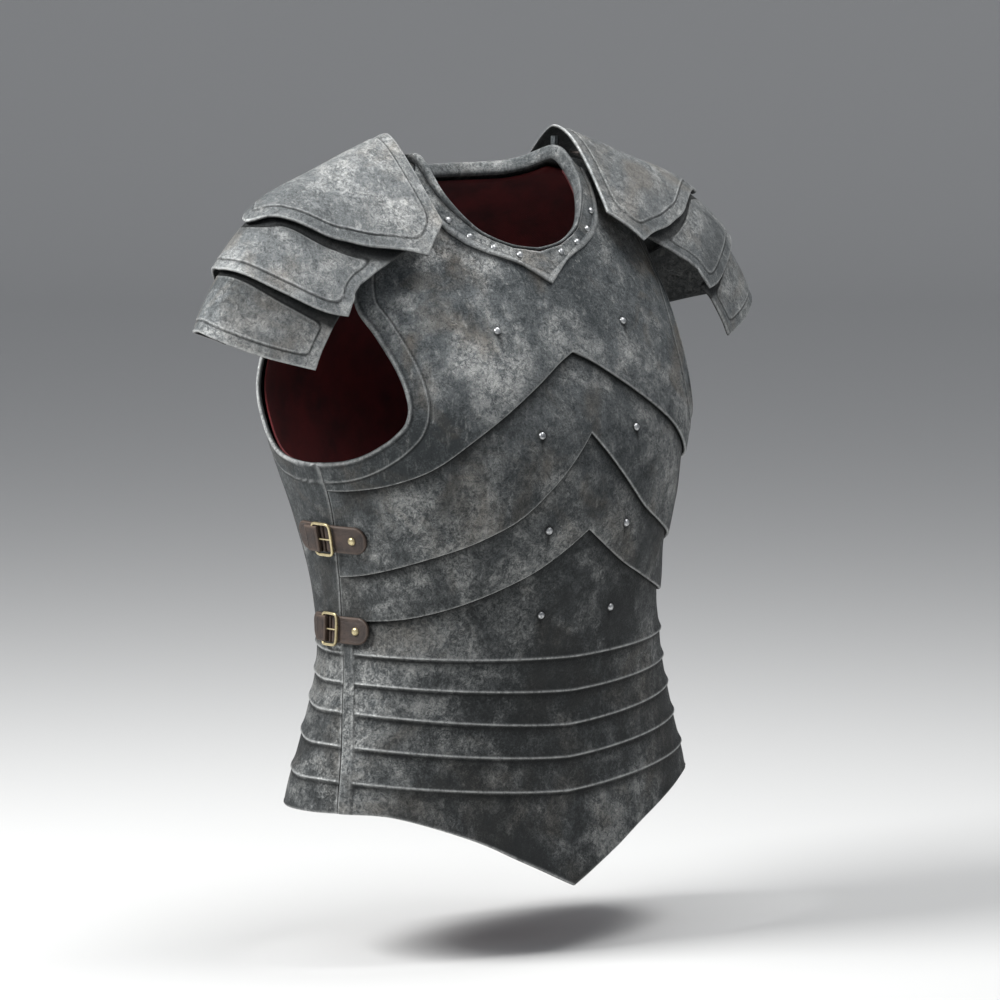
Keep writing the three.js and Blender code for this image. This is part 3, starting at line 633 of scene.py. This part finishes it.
def relaxed(top, low, side, nu=80, nv=90, rounds=900):
    """Even grid between the centre line, a top, a bottom and a side line, in angle and level.
    It is smoothed elliptically, so that it doesn't fold over where the side bends in."""
    u, v = np.linspace(0, 1, nu), np.linspace(0, 1, nv)
    t, b, s = resample(top, u) * SKIN_SCALE, resample(low, u) * SKIN_SCALE, resample(side, v) * SKIN_SCALE
    t[-1], b[-1] = s[0], s[-1]
    g = mix(t[:, None], b[:, None], v[None, :, None])
    g = g + (u**3)[:, None, None] * (s - mix(s[0], s[-1], v[:, None]))[None]
    g[0, :, 0] = 0
    for _ in range(rounds):
        gu = (g[2:, 1:-1] - g[:-2, 1:-1]) * 0.5
        gv = (g[1:-1, 2:] - g[1:-1, :-2]) * 0.5
        alpha, gamma = (gv**2).sum(-1)[..., None], (gu**2).sum(-1)[..., None]
        beta = (gu * gv).sum(-1)[..., None]
        cross = (g[2:, 2:] - g[2:, :-2] - g[:-2, 2:] + g[:-2, :-2]) * 0.25
        new = alpha * (g[2:, 1:-1] + g[:-2, 1:-1]) + gamma * (g[1:-1, 2:] + g[1:-1, :-2]) - 2 * beta * cross
        g[1:-1, 1:-1] = new / np.maximum(2 * (alpha + gamma), 1e-9)
        g[0, 1:-1, 1] = (4 * g[1, 1:-1, 1] - g[2, 1:-1, 1]) / 3
    return g / SKIN_SCALE


def refined(half, columns, rows, lowest_level):
    """Half a plate on the columns and rows of its final mesh, closed on the centre line."""
    half = cubic(cubic(half, columns, 0), rows, 1)
    half[0, :, 0] = 0
    half[..., 1] = np.maximum(half[..., 1], lowest_level)
    return half


def whole(half):
    """Both sides of a plate from its left half."""
    return np.concatenate([mirrored(half)[:0:-1], half])


def turned(aw):
    """Grid counted from the back centre, in angles from the front centre up to 180 either way."""
    aw = flipped(aw)
    aw[..., 0] = np.where(aw[..., 0] > 180, aw[..., 0] - 360, aw[..., 0])
    return aw


neck_half, neck_back = polyline(NECK, 120), polyline(NECK_BACK, 90)
arm_front, arm_back = polyline(ARM_FRONT), polyline(ARM_BACK)


def upper_half():
    """Left half of the upper breastplate, from its centre line to the armhole and the seam."""
    corner = float(seam(EDGE_UPPER[-1][1]))
    low_angle = np.linspace(0, 1, 200) * corner
    low = with_level(low_angle, edge_upper(low_angle))
    z_seam = np.linspace(ARM_FRONT[-1][1] - 0.2, float(edge_upper(corner)), 20)
    side = evened(arm_front, with_level(seam(z_seam), z_seam))
    half = relaxed(evened(neck_half, CREST), low, side)
    columns = np.r_[np.linspace(0, 0.84, 72), np.linspace(0.85, 0.98, 34),
                    0.985, 0.989, 0.9925, 0.9955, 0.998, 1]
    rows = np.r_[0, 0.003, 0.007, np.linspace(0.014, 0.7, 84), np.linspace(0.71, 0.985, 68),
                 0.9895, 0.993, 0.996, 0.9985, 1]
    return refined(half, columns, rows, 0.05)


def back_half():
    """Left half of the back plate: relaxed above the waist, rows set on the ribs below it."""
    def seam_angle(z):
        return 180 - seam(z) - SEAM_GAP

    z_seam = np.linspace(ARM_BACK[-1][1] - 0.2, WAIST_ROW, 60)
    side = evened(flipped(arm_back), with_level(seam_angle(z_seam), z_seam))
    low_angle = np.linspace(0, 1, 200) * side[-1, 0]
    low = with_level(low_angle, np.full_like(low_angle, WAIST_ROW))
    half = relaxed(evened(flipped(neck_back[::-1]), CREST), low, side)
    columns = np.r_[np.linspace(0, 0.83, 50), np.linspace(0.845, 0.978, 22), 0.984, 0.989, 0.993, 0.9965, 1]
    rows = np.r_[0, 0.003, 0.007, np.linspace(0.014, 0.34, 42), np.linspace(0.347, 0.72, 52),
                 np.linspace(0.73, 1, 18)]
    half = refined(half, columns, rows, 0.03)
    c = half[:, -1, 0] / side[-1, 0]
    z = [np.full_like(c, WAIST_ROW - 2)]
    above = None
    for rib in RIBS:
        # the columns' angles change with height, so a rib's line is found in three rounds
        line = np.full_like(c, rib[1])
        for _ in range(3):
            line = rib_height(rib, 180 - c * seam_angle(line))
        if above is not None:
            z += [mix(above, line + 11, v) for v in (0.3, 0.65)]
        z += [line + d for d in BACK_ROWS]
        above = line + BACK_ROWS[-1]
    z += [mix(above, BACK_HEM, v) for v in (0.12, 0.25, 0.4, 0.55, 0.7, 0.82, 0.91, 0.96, 0.985, 1)]
    z = np.minimum(np.stack(z, 1), WAIST_ROW - 1.0)
    return np.concatenate([half, with_level(c[:, None] * seam_angle(z), z)], 1)


def open_plate(name, aw, mat, neck, arm, ribbed=False):
    """Plate with a neck opening and rolled armholes, on a grid of angle and level."""
    base = bare(aw[..., 0], aw[..., 1])
    z = RIDGE_Z - aw[..., 1] ** 2
    neck = np.concatenate([mirrored(neck)[::-1], neck])
    d_neck = near(base, bare(neck[:, 0], neck[:, 1]))
    d_arm = np.minimum(*(near(base, bare(side * arm[:, 0], arm[:, 1])) for side, _ in SIDES))
    d_low = near(base, base[:, -1])
    roll = np.sqrt(np.clip(1 - ((d_arm - ROLL_AT) / ROLL) ** 2, 0, 1))
    lip = 0.9 * np.clip(1 - d_arm / 0.9, 0, 1)
    line = 0.55 * peak(d_arm, ARM_LINE, 0.7) + 0.35 * smooth((ARM_LINE - d_arm) / 1.2)
    raised = 0.8 * roll + line + rounded(np.minimum(d_neck, d_low)) - lip
    sunk = PLATE + 0.5 * roll - lip
    # worn bright on the lower edge and the rolled armhole edge, with a painted highlight on the raised line
    # round the armhole; painted shade just outside that line and at the foot of the roll, and the marks
    # around the rivets
    wear_and_highlight = 0.85 * peak(d_low, 0, 0.9) + 0.6 * peak(d_arm, 1.4, 1.1) + 0.5 * peak(d_arm, 16.4, 0.7)
    shade_and_dirt = 0.8 * peak(d_arm, 18.0, 0.9) + 0.5 * peak(d_arm, 4.4, 1.0) + rivet_marks(base)
    if ribbed:
        height, crest, foot = rib_relief(aw[..., 0], z)
        d_side = np.minimum(near(base, base[0]), near(base, base[-1]))
        raised = raised + 0.85 * height * smooth((d_side - 0.6) / 1.5) + 0.5 * peak(d_low, 1.6, 1.6)
        # painted highlight on the rib crests, worn side edges, and painted shade at the rib feet
        wear_and_highlight = wear_and_highlight + 0.95 * crest + 0.5 * peak(d_side, 0, 1.4)
        shade_and_dirt = shade_and_dirt + 0.75 * foot
    outer, inner = on_skin(aw, raised), on_skin(aw, -sunk)
    # on the shoulder crest each plate keeps to its own side of the split
    at_crest = z > RIDGE_Z - 4
    rear = 1 if ribbed else -1
    for face in (outer, inner):
        kept = rear * np.maximum(rear * face[..., 1], RIDGE_SPLIT)
        face[..., 1] = np.where(at_crest, kept, face[..., 1])
    close_shell(name + "_skin", outer, inner, mat, {"wear_and_highlight": wear_and_highlight, "shade_and_dirt": shade_and_dirt}, name)


open_plate("upper_breastplate", whole(upper_half()), STEEL, neck_half, arm_front)
front_plate("chevron_lame_upper", edge_upper, edge_middle, STEEL_B, rows=60)
front_plate("chevron_lame_lower", edge_middle, edge_lower, STEEL_C, rows=50)
front_plate("belly_plate", edge_lower, hem, STEEL, columns=105)
open_plate("back_plate", turned(whole(back_half())), STEEL_B, neck_back[::-1], arm_back, ribbed=True)


# ---------------- collar band and neck rim
def collar_band():
    """Flat band around the front of the neck, with a raised outer rim."""
    inner, outer = np.array(NECK, float), np.array(COLLAR, float)
    along = np.linspace(-1, 1, 241)
    reach = np.abs(along) * 0.96 * (len(inner) - 1)
    inner_edge = read_along(reach, np.arange(len(inner)), inner) + np.array([0.1, 0])
    outer_edge = read_along(reach, np.arange(len(outer)), outer)
    v = np.r_[0.03, 0.045, 0.07, 0.1, 0.15, np.linspace(0.2, 0.6, 5), 0.66, 0.7, 0.73, 0.76, 0.79, 0.82, 0.85,
              0.88, 0.92, 0.955, 0.975, 0.99, 1]
    across = mix(inner_edge[:, None], outer_edge[:, None], v[:, None])
    angle, z = across[..., 0] * np.where(along < 0, -1, 1)[:, None], across[..., 1]
    rim = smooth((v - 0.68) / 0.1)
    rounding = 0.9 * np.clip(1 - (1 - v) / 0.07, 0, 1) ** 2 + 0.5 * np.clip(1 - (v - 0.03) / 0.05, 0, 1)
    # raised rim and inner edge worn bright; painted shade at the foot of the rim and near the inner edge,
    # beside the neck roll
    wear_and_highlight = 0.35 * smooth((v - 0.76) / 0.06) + 0.3 * peak(v, 0.05, 0.04)
    shade_and_dirt = 0.8 * peak(v, 0.69, 0.03) + 0.3 * peak(v, 0.12, 0.06)
    close_shell("collar_band_skin", skin(angle, z, 2.2 + 1.1 * rim - rounding), skin(angle, z, 0.4), STEEL_C,
                {"wear_and_highlight": wear_and_highlight, "shade_and_dirt": shade_and_dirt}, "collar_band")


def neck_rim():
    """Roll around the neck opening, slim in front and thick behind."""
    half = np.concatenate([polyline(NECK, 160), polyline(NECK_BACK, 160)])
    loop = np.concatenate([half, mirrored(half)[::-1][1:-1]])
    path = np.concatenate([bare(loop[:, 0], loop[:, 1]), normal_at(loop[:, 0], loop[:, 1])], 1)
    path = path[np.r_[True, np.linalg.norm(np.diff(path[:, :3], axis=0), axis=1) > 0.05]]
    # even out the path and its normals, so that the roll turns smoothly over the shoulder crest
    path = np.concatenate([path, path[:1]])
    run = lengths(path[:, :3])
    path = read_along(np.linspace(0, run[-1], 361)[:-1], run, path)
    for _ in range(10):
        path = 0.25 * np.roll(path, 1, 0) + 0.5 * path + 0.25 * np.roll(path, -1, 0)
    place, out = path[:, :3], unit(path[:, 3:])
    inward = unit(np.cross(np.roll(place, -1, 0) - np.roll(place, 1, 0), out))
    inward[(inward[:, :2] * place[:, :2]).sum(1) > 0] *= -1
    # from 0 in front of the neck to 1 behind it
    rear = smooth((place[:, 1] + 62) / 55)[:, None]
    half_thick, half_high = mix(1.1, 2.8, rear), mix(2.0, 6.0, rear)
    centre = place + inward * (half_thick + 0.35) + out * mix(0.4, 1.5, rear)
    sideways, upward = square_ring(28, 0.55)
    rings = (centre[:, None] + inward[:, None] * (sideways[:, None] * half_thick[:, None])
             + out[:, None] * (upward[:, None] * half_high[:, None]))
    # worn bright on the roll's top corner at the opening; painted shade on its underside against the plate,
    # and slightly darker all round
    wear_and_highlight = 0.45 * np.clip(upward, 0, 1) ** 6 * np.clip(sideways, 0, 1) + 0.05
    shade_and_dirt = 0.5 * np.clip(-upward, 0, 1) + 0.15
    marks = {"wear_and_highlight": np.tile(wear_and_highlight, len(rings)), "shade_and_dirt": np.tile(shade_and_dirt, len(rings))}
    loft("neck_rim_skin", rings, STEEL_B, marks, "neck_rim")


collar_band()
neck_rim()


# ---------------- shoulder guards
ridge_x, ridge_y, ridge_z = (curve(SHOULDER, c) for c in (1, 2, 3))
arch_drop, arch_crest = curve(ARCH, 1), curve(ARCH, 2)
top_end, mid_end = curve(TOP_END), curve(MID_END)
low_front, low_back = curve(LOW_END_FRONT), curve(LOW_END_BACK)


def shoulder_at(run, reach):
    """Point of the left guard at a run along its ridge and a reach across it."""
    dx = ridge_x(run + 0.5) - ridge_x(run - 0.5)
    dz = ridge_z(run + 0.5) - ridge_z(run - 0.5)
    size = np.hypot(dx, dz)
    crest = arch_crest(run)
    drop = arch_drop(run) * (np.hypot(reach, crest) - crest) / (np.hypot(ARCH_REACH, crest) - crest)
    x, z = ridge_x(run) + (dz / size) * drop, ridge_z(run) - (dx / size) * drop
    return np.stack([x, ridge_y(run) + reach, z], -1)


def shoulder(run, reach, off):
    """The same point, off mm outside the guard."""
    along = shoulder_at(run + 0.5, reach) - shoulder_at(run - 0.5, reach)
    across = shoulder_at(run, reach + 0.5) - shoulder_at(run, reach - 0.5)
    out = unit(np.cross(along, across))
    bad = (out[..., 2] < 0) & (out[..., 0] < 0)
    out = np.where(bad[..., None], -out, out)
    return shoulder_at(run, reach) + out * off[..., None]


def lame(name, mat, widths, lifts, start, end, line_in, corner, covered=0.0):
    """One shoulder lame on each side. Its half width and lift go from their first to their second number,
    line_in is the embossed line's distance from the edges and corner its rounding, and covered is how much
    of the lame runs under the one above."""
    c = np.r_[np.linspace(0, 0.22, 6), np.linspace(0.245, 0.68, 20), np.linspace(0.692, 0.988, 30), 0.994, 1]
    c = np.r_[-c[:0:-1], c]
    if covered:
        v = np.r_[np.linspace(0, 0.2, 9), np.linspace(0.21, 0.42, 22), np.linspace(0.45, 0.72, 12),
                  np.linspace(0.732, 0.985, 26), 0.991, 0.996, 1]
    else:
        v = np.r_[0, 0.003, np.linspace(0.008, 0.15, 24), np.linspace(0.17, 0.84, 36),
                  np.linspace(0.846, 0.985, 28), 0.991, 0.996, 1]
    cc, vv = np.meshgrid(c, v, indexing="ij")
    reach = cc * mix(*widths, vv)
    edge = np.abs(cc) * widths[1]
    run = mix(start(edge), end(edge, cc), vv)
    off = mix(*lifts, vv)
    base = shoulder(run, reach, off)
    d_low, d_front, d_back = near(base, base[:, -1]), near(base, base[0]), near(base, base[-1])
    d_top = near(base, base[:, 0]) - covered
    free = np.minimum(np.minimum(d_low, d_front), d_back)
    if not covered:
        free = np.minimum(free, d_top)
    # distance inside the embossed line, as a soft minimum that rounds its corners
    top_in = 2.0 if covered else line_in
    sides = np.stack([d_low - line_in, d_front - line_in, d_back - line_in, d_top - top_in])
    inside = -corner * np.log(np.exp(-np.clip(sides, -60, 200) / corner).sum(0)) + corner * 0.2
    panel = 0.25 * smooth((inside + 0.8) / 1.6)
    relief = panel + 0.3 * peak(inside, 0.7, 0.7) - 0.45 * peak(inside, -0.9, 0.7)
    shown = smooth((d_top + 1.0) / 2.0) if covered else 1.0
    raised = relief * shown + 0.25 * peak(free, 1.4, 1.2) + rounded(free)
    # edges worn bright, with a painted highlight along the embossed line; painted shade just outside the line
    wear_and_highlight = 0.12 + 0.75 * peak(free, 0.5, 0.9) + 0.4 * shown * peak(inside, 0.8, 0.7)
    shade_and_dirt = 0.75 * shown * peak(inside, -0.9, 0.75)
    if covered:
        # painted shadow under the edge of the lame above
        below = np.maximum(d_top, 0)
        shade_and_dirt = shade_and_dirt + 0.75 * np.exp(-below / 2.0) + 0.15 * np.exp(-below / 7)
    outer, inner = shoulder(run, reach, off + raised), shoulder(run, reach, off - LAME)
    for side, tag in SIDES:
        close_shell(f"{name}_{tag}_skin", on_side(outer, side), on_side(inner, side), mat,
                    {"wear_and_highlight": wear_and_highlight, "shade_and_dirt": shade_and_dirt}, f"{name}_{tag}")


lame("shoulder_top", STEEL, (67.5, 82), (0, 0), lambda e: e * 0.25, lambda e, c: top_end(e), 12.5, 4.0)
lame("shoulder_middle", STEEL_C, (74, 70), (-6.5, -1.5), lambda e: top_end(e) - LAP, lambda e, c: mid_end(e),
     10.5, 2.5, LAP)
lame("shoulder_lower", STEEL_B, (68, 61), (-9.5, -4), lambda e: mid_end(e) - LAP,
     lambda e, c: np.where(c < 0, low_front(e), low_back(e)), 10.5, 2.5, LAP)


# ---------------- rivets
# rings of a rivet's head, from its foot to its crown: radius and height, as parts of the whole
HEAD = [(1.0, 0.0), (1.0, 0.12), (0.97, 0.3), (0.88, 0.55), (0.72, 0.78), (0.5, 0.92), (0.25, 0.985),
        (0.06, 1.0)]
ROUND = 24


def rivet_head(node, angle, z, radius, height, lift, mat, side):
    origin, out = skin(angle, z), normal_at(angle, level(z))
    across = unit(np.cross([0, 0, 1.0], out))
    up = np.cross(out, across)
    cosine, sine = (f[:, None] for f in square_ring(ROUND, 1))
    rings = [origin + out * (lift + h * height) + radius * r * (across * cosine + up * sine) for r, h in HEAD]
    # brighter towards the crown; painted shade at the foot, where the head meets the plate
    wear_and_highlight = np.repeat(np.linspace(0.2, 1, len(HEAD)), ROUND)
    shade_and_dirt = np.repeat([1, 0.8, 0.25] + [0] * (len(HEAD) - 3), ROUND)
    loft(node + "_head", on_side(rings, side), mat, {"wear_and_highlight": wear_and_highlight, "shade_and_dirt": shade_and_dirt}, node, closed=False)


for side, tag in SIDES:
    for i, (angle, z) in enumerate(BREAST_RIVETS, 1):
        rivet_head(f"breast_rivet_{i}_{tag}", angle, z, 3.1, 2.6, -0.3, RIVET, side)
    for i, (angle, z) in enumerate(COLLAR_RIVETS, 1):
        rivet_head(f"collar_rivet_{i}_{tag}", angle, z, 2.9, 2.3, 2.0, RIVET, side)


# ---------------- straps and buckles
def strap(name, node, angles, z_mid, low, high, half, side, tip=0.0):
    """Leather lying along the skin between two angles, from low to high mm off it. Its edges are rounded
    and stitched, and the last tip mm are a rounded end."""
    radius = float(half_width(level(z_mid)))
    u = np.r_[0, 0.004, 0.012, np.linspace(0.03, 0.97, 52), 0.988, 0.996, 1]
    angle = mix(*angles, u)[:, None]
    to_start, to_end = (np.abs(np.radians(angle - end)) * radius for end in angles)
    h = np.full_like(angle, half)
    if tip:
        h = half * np.sqrt(np.clip(1 - (np.clip(1 - to_end / tip, 0, 1) * 0.97) ** 2, 0, 1))
    v = np.linspace(-1, 1, 21)
    v = np.sign(v) * (1 - (1 - np.abs(v)) ** 1.4)
    z = z_mid - v * h
    d = np.minimum((1 - np.abs(v)) * h, np.minimum(to_end, to_start))
    round_off = np.sqrt(np.clip(1 - (1 - np.clip(d / 1.6, 0, 1)) ** 2, 0, 1)) - 1.0
    outer, inner = skin(angle, z, high + round_off - 0.35 * peak(d, 3.0, 0.5)), skin(angle, z, low)
    marks = {"wear_and_highlight": peak(d, 0, 1.6), "shade_and_dirt": 0.0}
    close_shell(name, on_side(outer, side), on_side(inner, side), LEATHER, marks, node)


def bar(name, node, path, up, half_wide, half_high, side, closed):
    """Rounded brass bar along a path; up is the skin's normal there."""
    along = np.roll(path, -1, 0) - np.roll(path, 1, 0) if closed else np.gradient(path, axis=0)
    across = unit(np.cross(unit(along), up))
    sideways, upward = square_ring(16, 0.7)
    rings = (path[:, None] + across[:, None] * (sideways[:, None] * half_wide)
             + up[:, None] * (upward[:, None] * half_high))
    wear_and_highlight = np.tile(np.clip(upward, 0, 1) ** 2, len(path))
    loft(name, on_side(rings, side), BRASS, {"wear_and_highlight": wear_and_highlight, "shade_and_dirt": wear_and_highlight * 0}, node, closed)


def buckle(tag, z_mid, side):
    """Rounded frame around the strap, and the prong across it."""
    node = "buckle_" + tag
    radius = float(half_width(level(z_mid)))
    middle, half_long, half_high = 90.8, 0.5 * math.radians(8.2) * radius - 1.2, 12.9
    long, high = square_ring(120, 0.32)
    angle, z = middle + np.degrees(long * half_long / radius), z_mid + high * half_high
    bar(f"buckle_frame_{tag}", node, skin(angle, z, 6.2), normal_at(angle, level(z)), 1.15, 1.2, side, True)
    angle, z = np.linspace(87.1, 94.6, 24), np.full(24, z_mid)
    prong = skin(angle, z, 5.6 + 0.5 * np.sin(np.linspace(0, np.pi, 24)))
    bar(f"buckle_prong_{tag}", node, prong, normal_at(angle, level(z)), 0.6, 0.6, side, False)


for side, tag in SIDES:
    for name, z in STRAPS.items():
        front, back = f"strap_{name}_front_{tag}", f"strap_{name}_back_{tag}"
        strap(front + "_pad", front, (90.4, 74), z, 0.9, 4.0, 11.0, side, 13)
        strap(back + "_pad", back, (91.2, 106), z, 0.9, 4.0, 11.5, side, 12)
        strap(back + "_fold", back, (92.0, 98.0), z, 4.0, 8.4, 10.6, side)
        buckle(f"{name}_{tag}", z, side)
        rivet_head(f"strap_rivet_{name}_{tag}", 79.2, z, 3.4, 2.2, 3.9, BRASS, side)


# ---------------- linings, and the pieces kept from the frame
LINING_TOP = math.sqrt(5.0)  # level of a lining's top edge
LINING_HEM = 14  # from the plates' lower edges up to the linings'
ARM_CENTRE = with_level(88.0, -150.0)  # about the middle of an armhole


def lining(name, front):
    """Cloth inside a plate, stopped a little short of its openings."""
    off = -PLATE - LINING_GAP - (PLATE + GAP if front else 0)
    neck, arm = (neck_half, arm_front) if front else (neck_back[::-1], arm_back)
    arm = ARM_CENTRE + (arm - ARM_CENTRE) * 1.035
    arm[:, 1] = np.maximum(arm[:, 1], LINING_TOP)
    z_seam = np.linspace(-262.0, -521.0, 120)
    seam_angle = seam(z_seam) * 0.985
    if not front:
        neck, arm = flipped(neck), flipped(arm)
        seam_angle = 180 - seam(z_seam) - 2
    neck = np.stack([neck[:, 0] * 1.05, np.maximum(neck[:, 1] * 1.03, LINING_TOP)], 1)
    side = evened(arm[arm[:, 1] < level(-260.0)], with_level(seam_angle, z_seam))
    top = evened(neck, np.array([[neck[-1, 0], LINING_TOP], side[0]]))
    low_angle = np.linspace(0, 1, 100) * side[-1, 0]
    low = with_level(low_angle, (hem(low_angle) if front else np.full(100, BACK_HEM)) + LINING_HEM)
    low[-1] = side[-1]
    half = relaxed(top, low, side, 46, 66, 400)
    half[..., 1] = np.maximum(half[..., 1], LINING_TOP)
    aw = whole(half) if front else turned(whole(half))
    outer, inner = on_skin(aw, off), on_skin(aw, off - LINING)
    close_shell(name + "_cloth", outer, inner, CLOTH, {"wear_and_highlight": 0.0}, name)


lining("lining_front", True)
lining("lining_back", False)

for _, tag in SIDES:
    for node, mat in ((f"shoulder_hanger_{tag}", LEATHER), (f"shoulder_post_{tag}", STEEL)):
        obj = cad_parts[node]
        obj.data.materials.clear()
        obj.data.materials.append(mat)


# ---------------- floor, lights and camera, in metres
AZIMUTH, ELEVATION = math.radians(-42), math.radians(6.7)
RIGHT = Vector((math.cos(AZIMUTH), math.sin(AZIMUTH), 0))
TOWARD = Vector((math.sin(AZIMUTH) * math.cos(ELEVATION), -math.cos(AZIMUTH) * math.cos(ELEVATION),
                 math.sin(ELEVATION)))
UP = TOWARD.cross(RIGHT)
HEART = Vector((0, 0, -0.3))  # middle of the object, which the camera looks just past
CAMERA_AWAY, CAMERA_ASIDE, LENS = 5.33, 0.01148, 234
FLOOR_Z, FLOOR_NEAR, FLOOR_FAR, BEND, WALL_TOP, HALF_WIDE = -0.66, -9.0, 6.0, 2.0, 12.0, 12.0


def around(right, up, toward):
    """Place by its distances from the heart, as the camera sees them."""
    return HEART + RIGHT * right + UP * up + TOWARD * toward


def floor_material():
    mat = bpy.data.materials.new("pale_floor")
    mat.use_nodes = True
    shader = mat.node_tree.nodes["Principled BSDF"]
    shader.inputs["Base Color"].default_value = (0.64, 0.64, 0.63, 1)
    shader.inputs["Roughness"].default_value = 0.9
    return mat


def floor():
    """Pale floor that curves up into a backdrop behind the object."""
    away = Vector((-math.sin(AZIMUTH), math.cos(AZIMUTH), 0))
    bend = [(FLOOR_FAR + BEND * math.sin(t), FLOOR_Z + BEND * (1 - math.cos(t)))
            for t in np.linspace(0.1, math.pi / 2, 16)]
    profile = [(FLOOR_NEAR, FLOOR_Z), (FLOOR_FAR, FLOOR_Z), *bend, (FLOOR_FAR + BEND, WALL_TOP)]
    verts = [RIGHT * x + away * d + Vector((0, 0, z)) for x in (-HALF_WIDE, HALF_WIDE) for d, z in profile]
    n = len(profile)
    mesh = bpy.data.meshes.new("floor")
    mesh.from_pydata(verts, [], [(i, i + 1, n + i + 1, n + i) for i in range(n - 1)])
    mesh.polygons.foreach_set("use_smooth", [True] * (n - 1))
    obj = bpy.data.objects.new("floor", mesh)
    bpy.context.scene.collection.objects.link(obj)
    mesh.materials.append(floor_material())


def lamp(name, place, target, size, power):
    data = bpy.data.lights.new(name, "AREA")
    data.shape = "RECTANGLE"
    data.size, data.size_y = size
    data.energy = power
    obj = bpy.data.objects.new(name, data)
    obj.location = place
    obj.rotation_euler = (place - target).to_track_quat("Z", "Y").to_euler()
    bpy.context.scene.collection.objects.link(obj)


def sky(colour, strength):
    world = bpy.data.worlds.new("world")
    bpy.context.scene.world = world
    world.use_nodes = True
    background = world.node_tree.nodes["Background"]
    background.inputs["Color"].default_value = (*colour, 1)
    background.inputs["Strength"].default_value = strength


def camera():
    data = bpy.data.cameras.new("camera")
    data.sensor_width, data.lens = 36, LENS
    data.clip_start, data.clip_end = 0.1, 60
    obj = bpy.data.objects.new("camera", data)
    bpy.context.scene.collection.objects.link(obj)
    obj.location = around(CAMERA_ASIDE, 0, CAMERA_AWAY)
    obj.rotation_mode = "QUATERNION"
    obj.rotation_quaternion = TOWARD.to_track_quat("Z", "Y")
    bpy.context.scene.camera = obj


floor()
lamp("key", around(-1.35, 1.25, 0.75), around(-0.05, 0.1, 0), (0.8, 0.8), 62)
lamp("fill", around(2.0, 1.2, 2.4), HEART, (1.6, 1.6), 5)
lamp("top", around(0.55, 1.6, 0.0), around(0.15, 0.2, 0), (1.1, 0.8), 25)
sky((0.9, 0.93, 1.0), 0.33)
camera()
view = bpy.context.scene.view_settings
view.view_transform = "Standard"
view.look = "None"
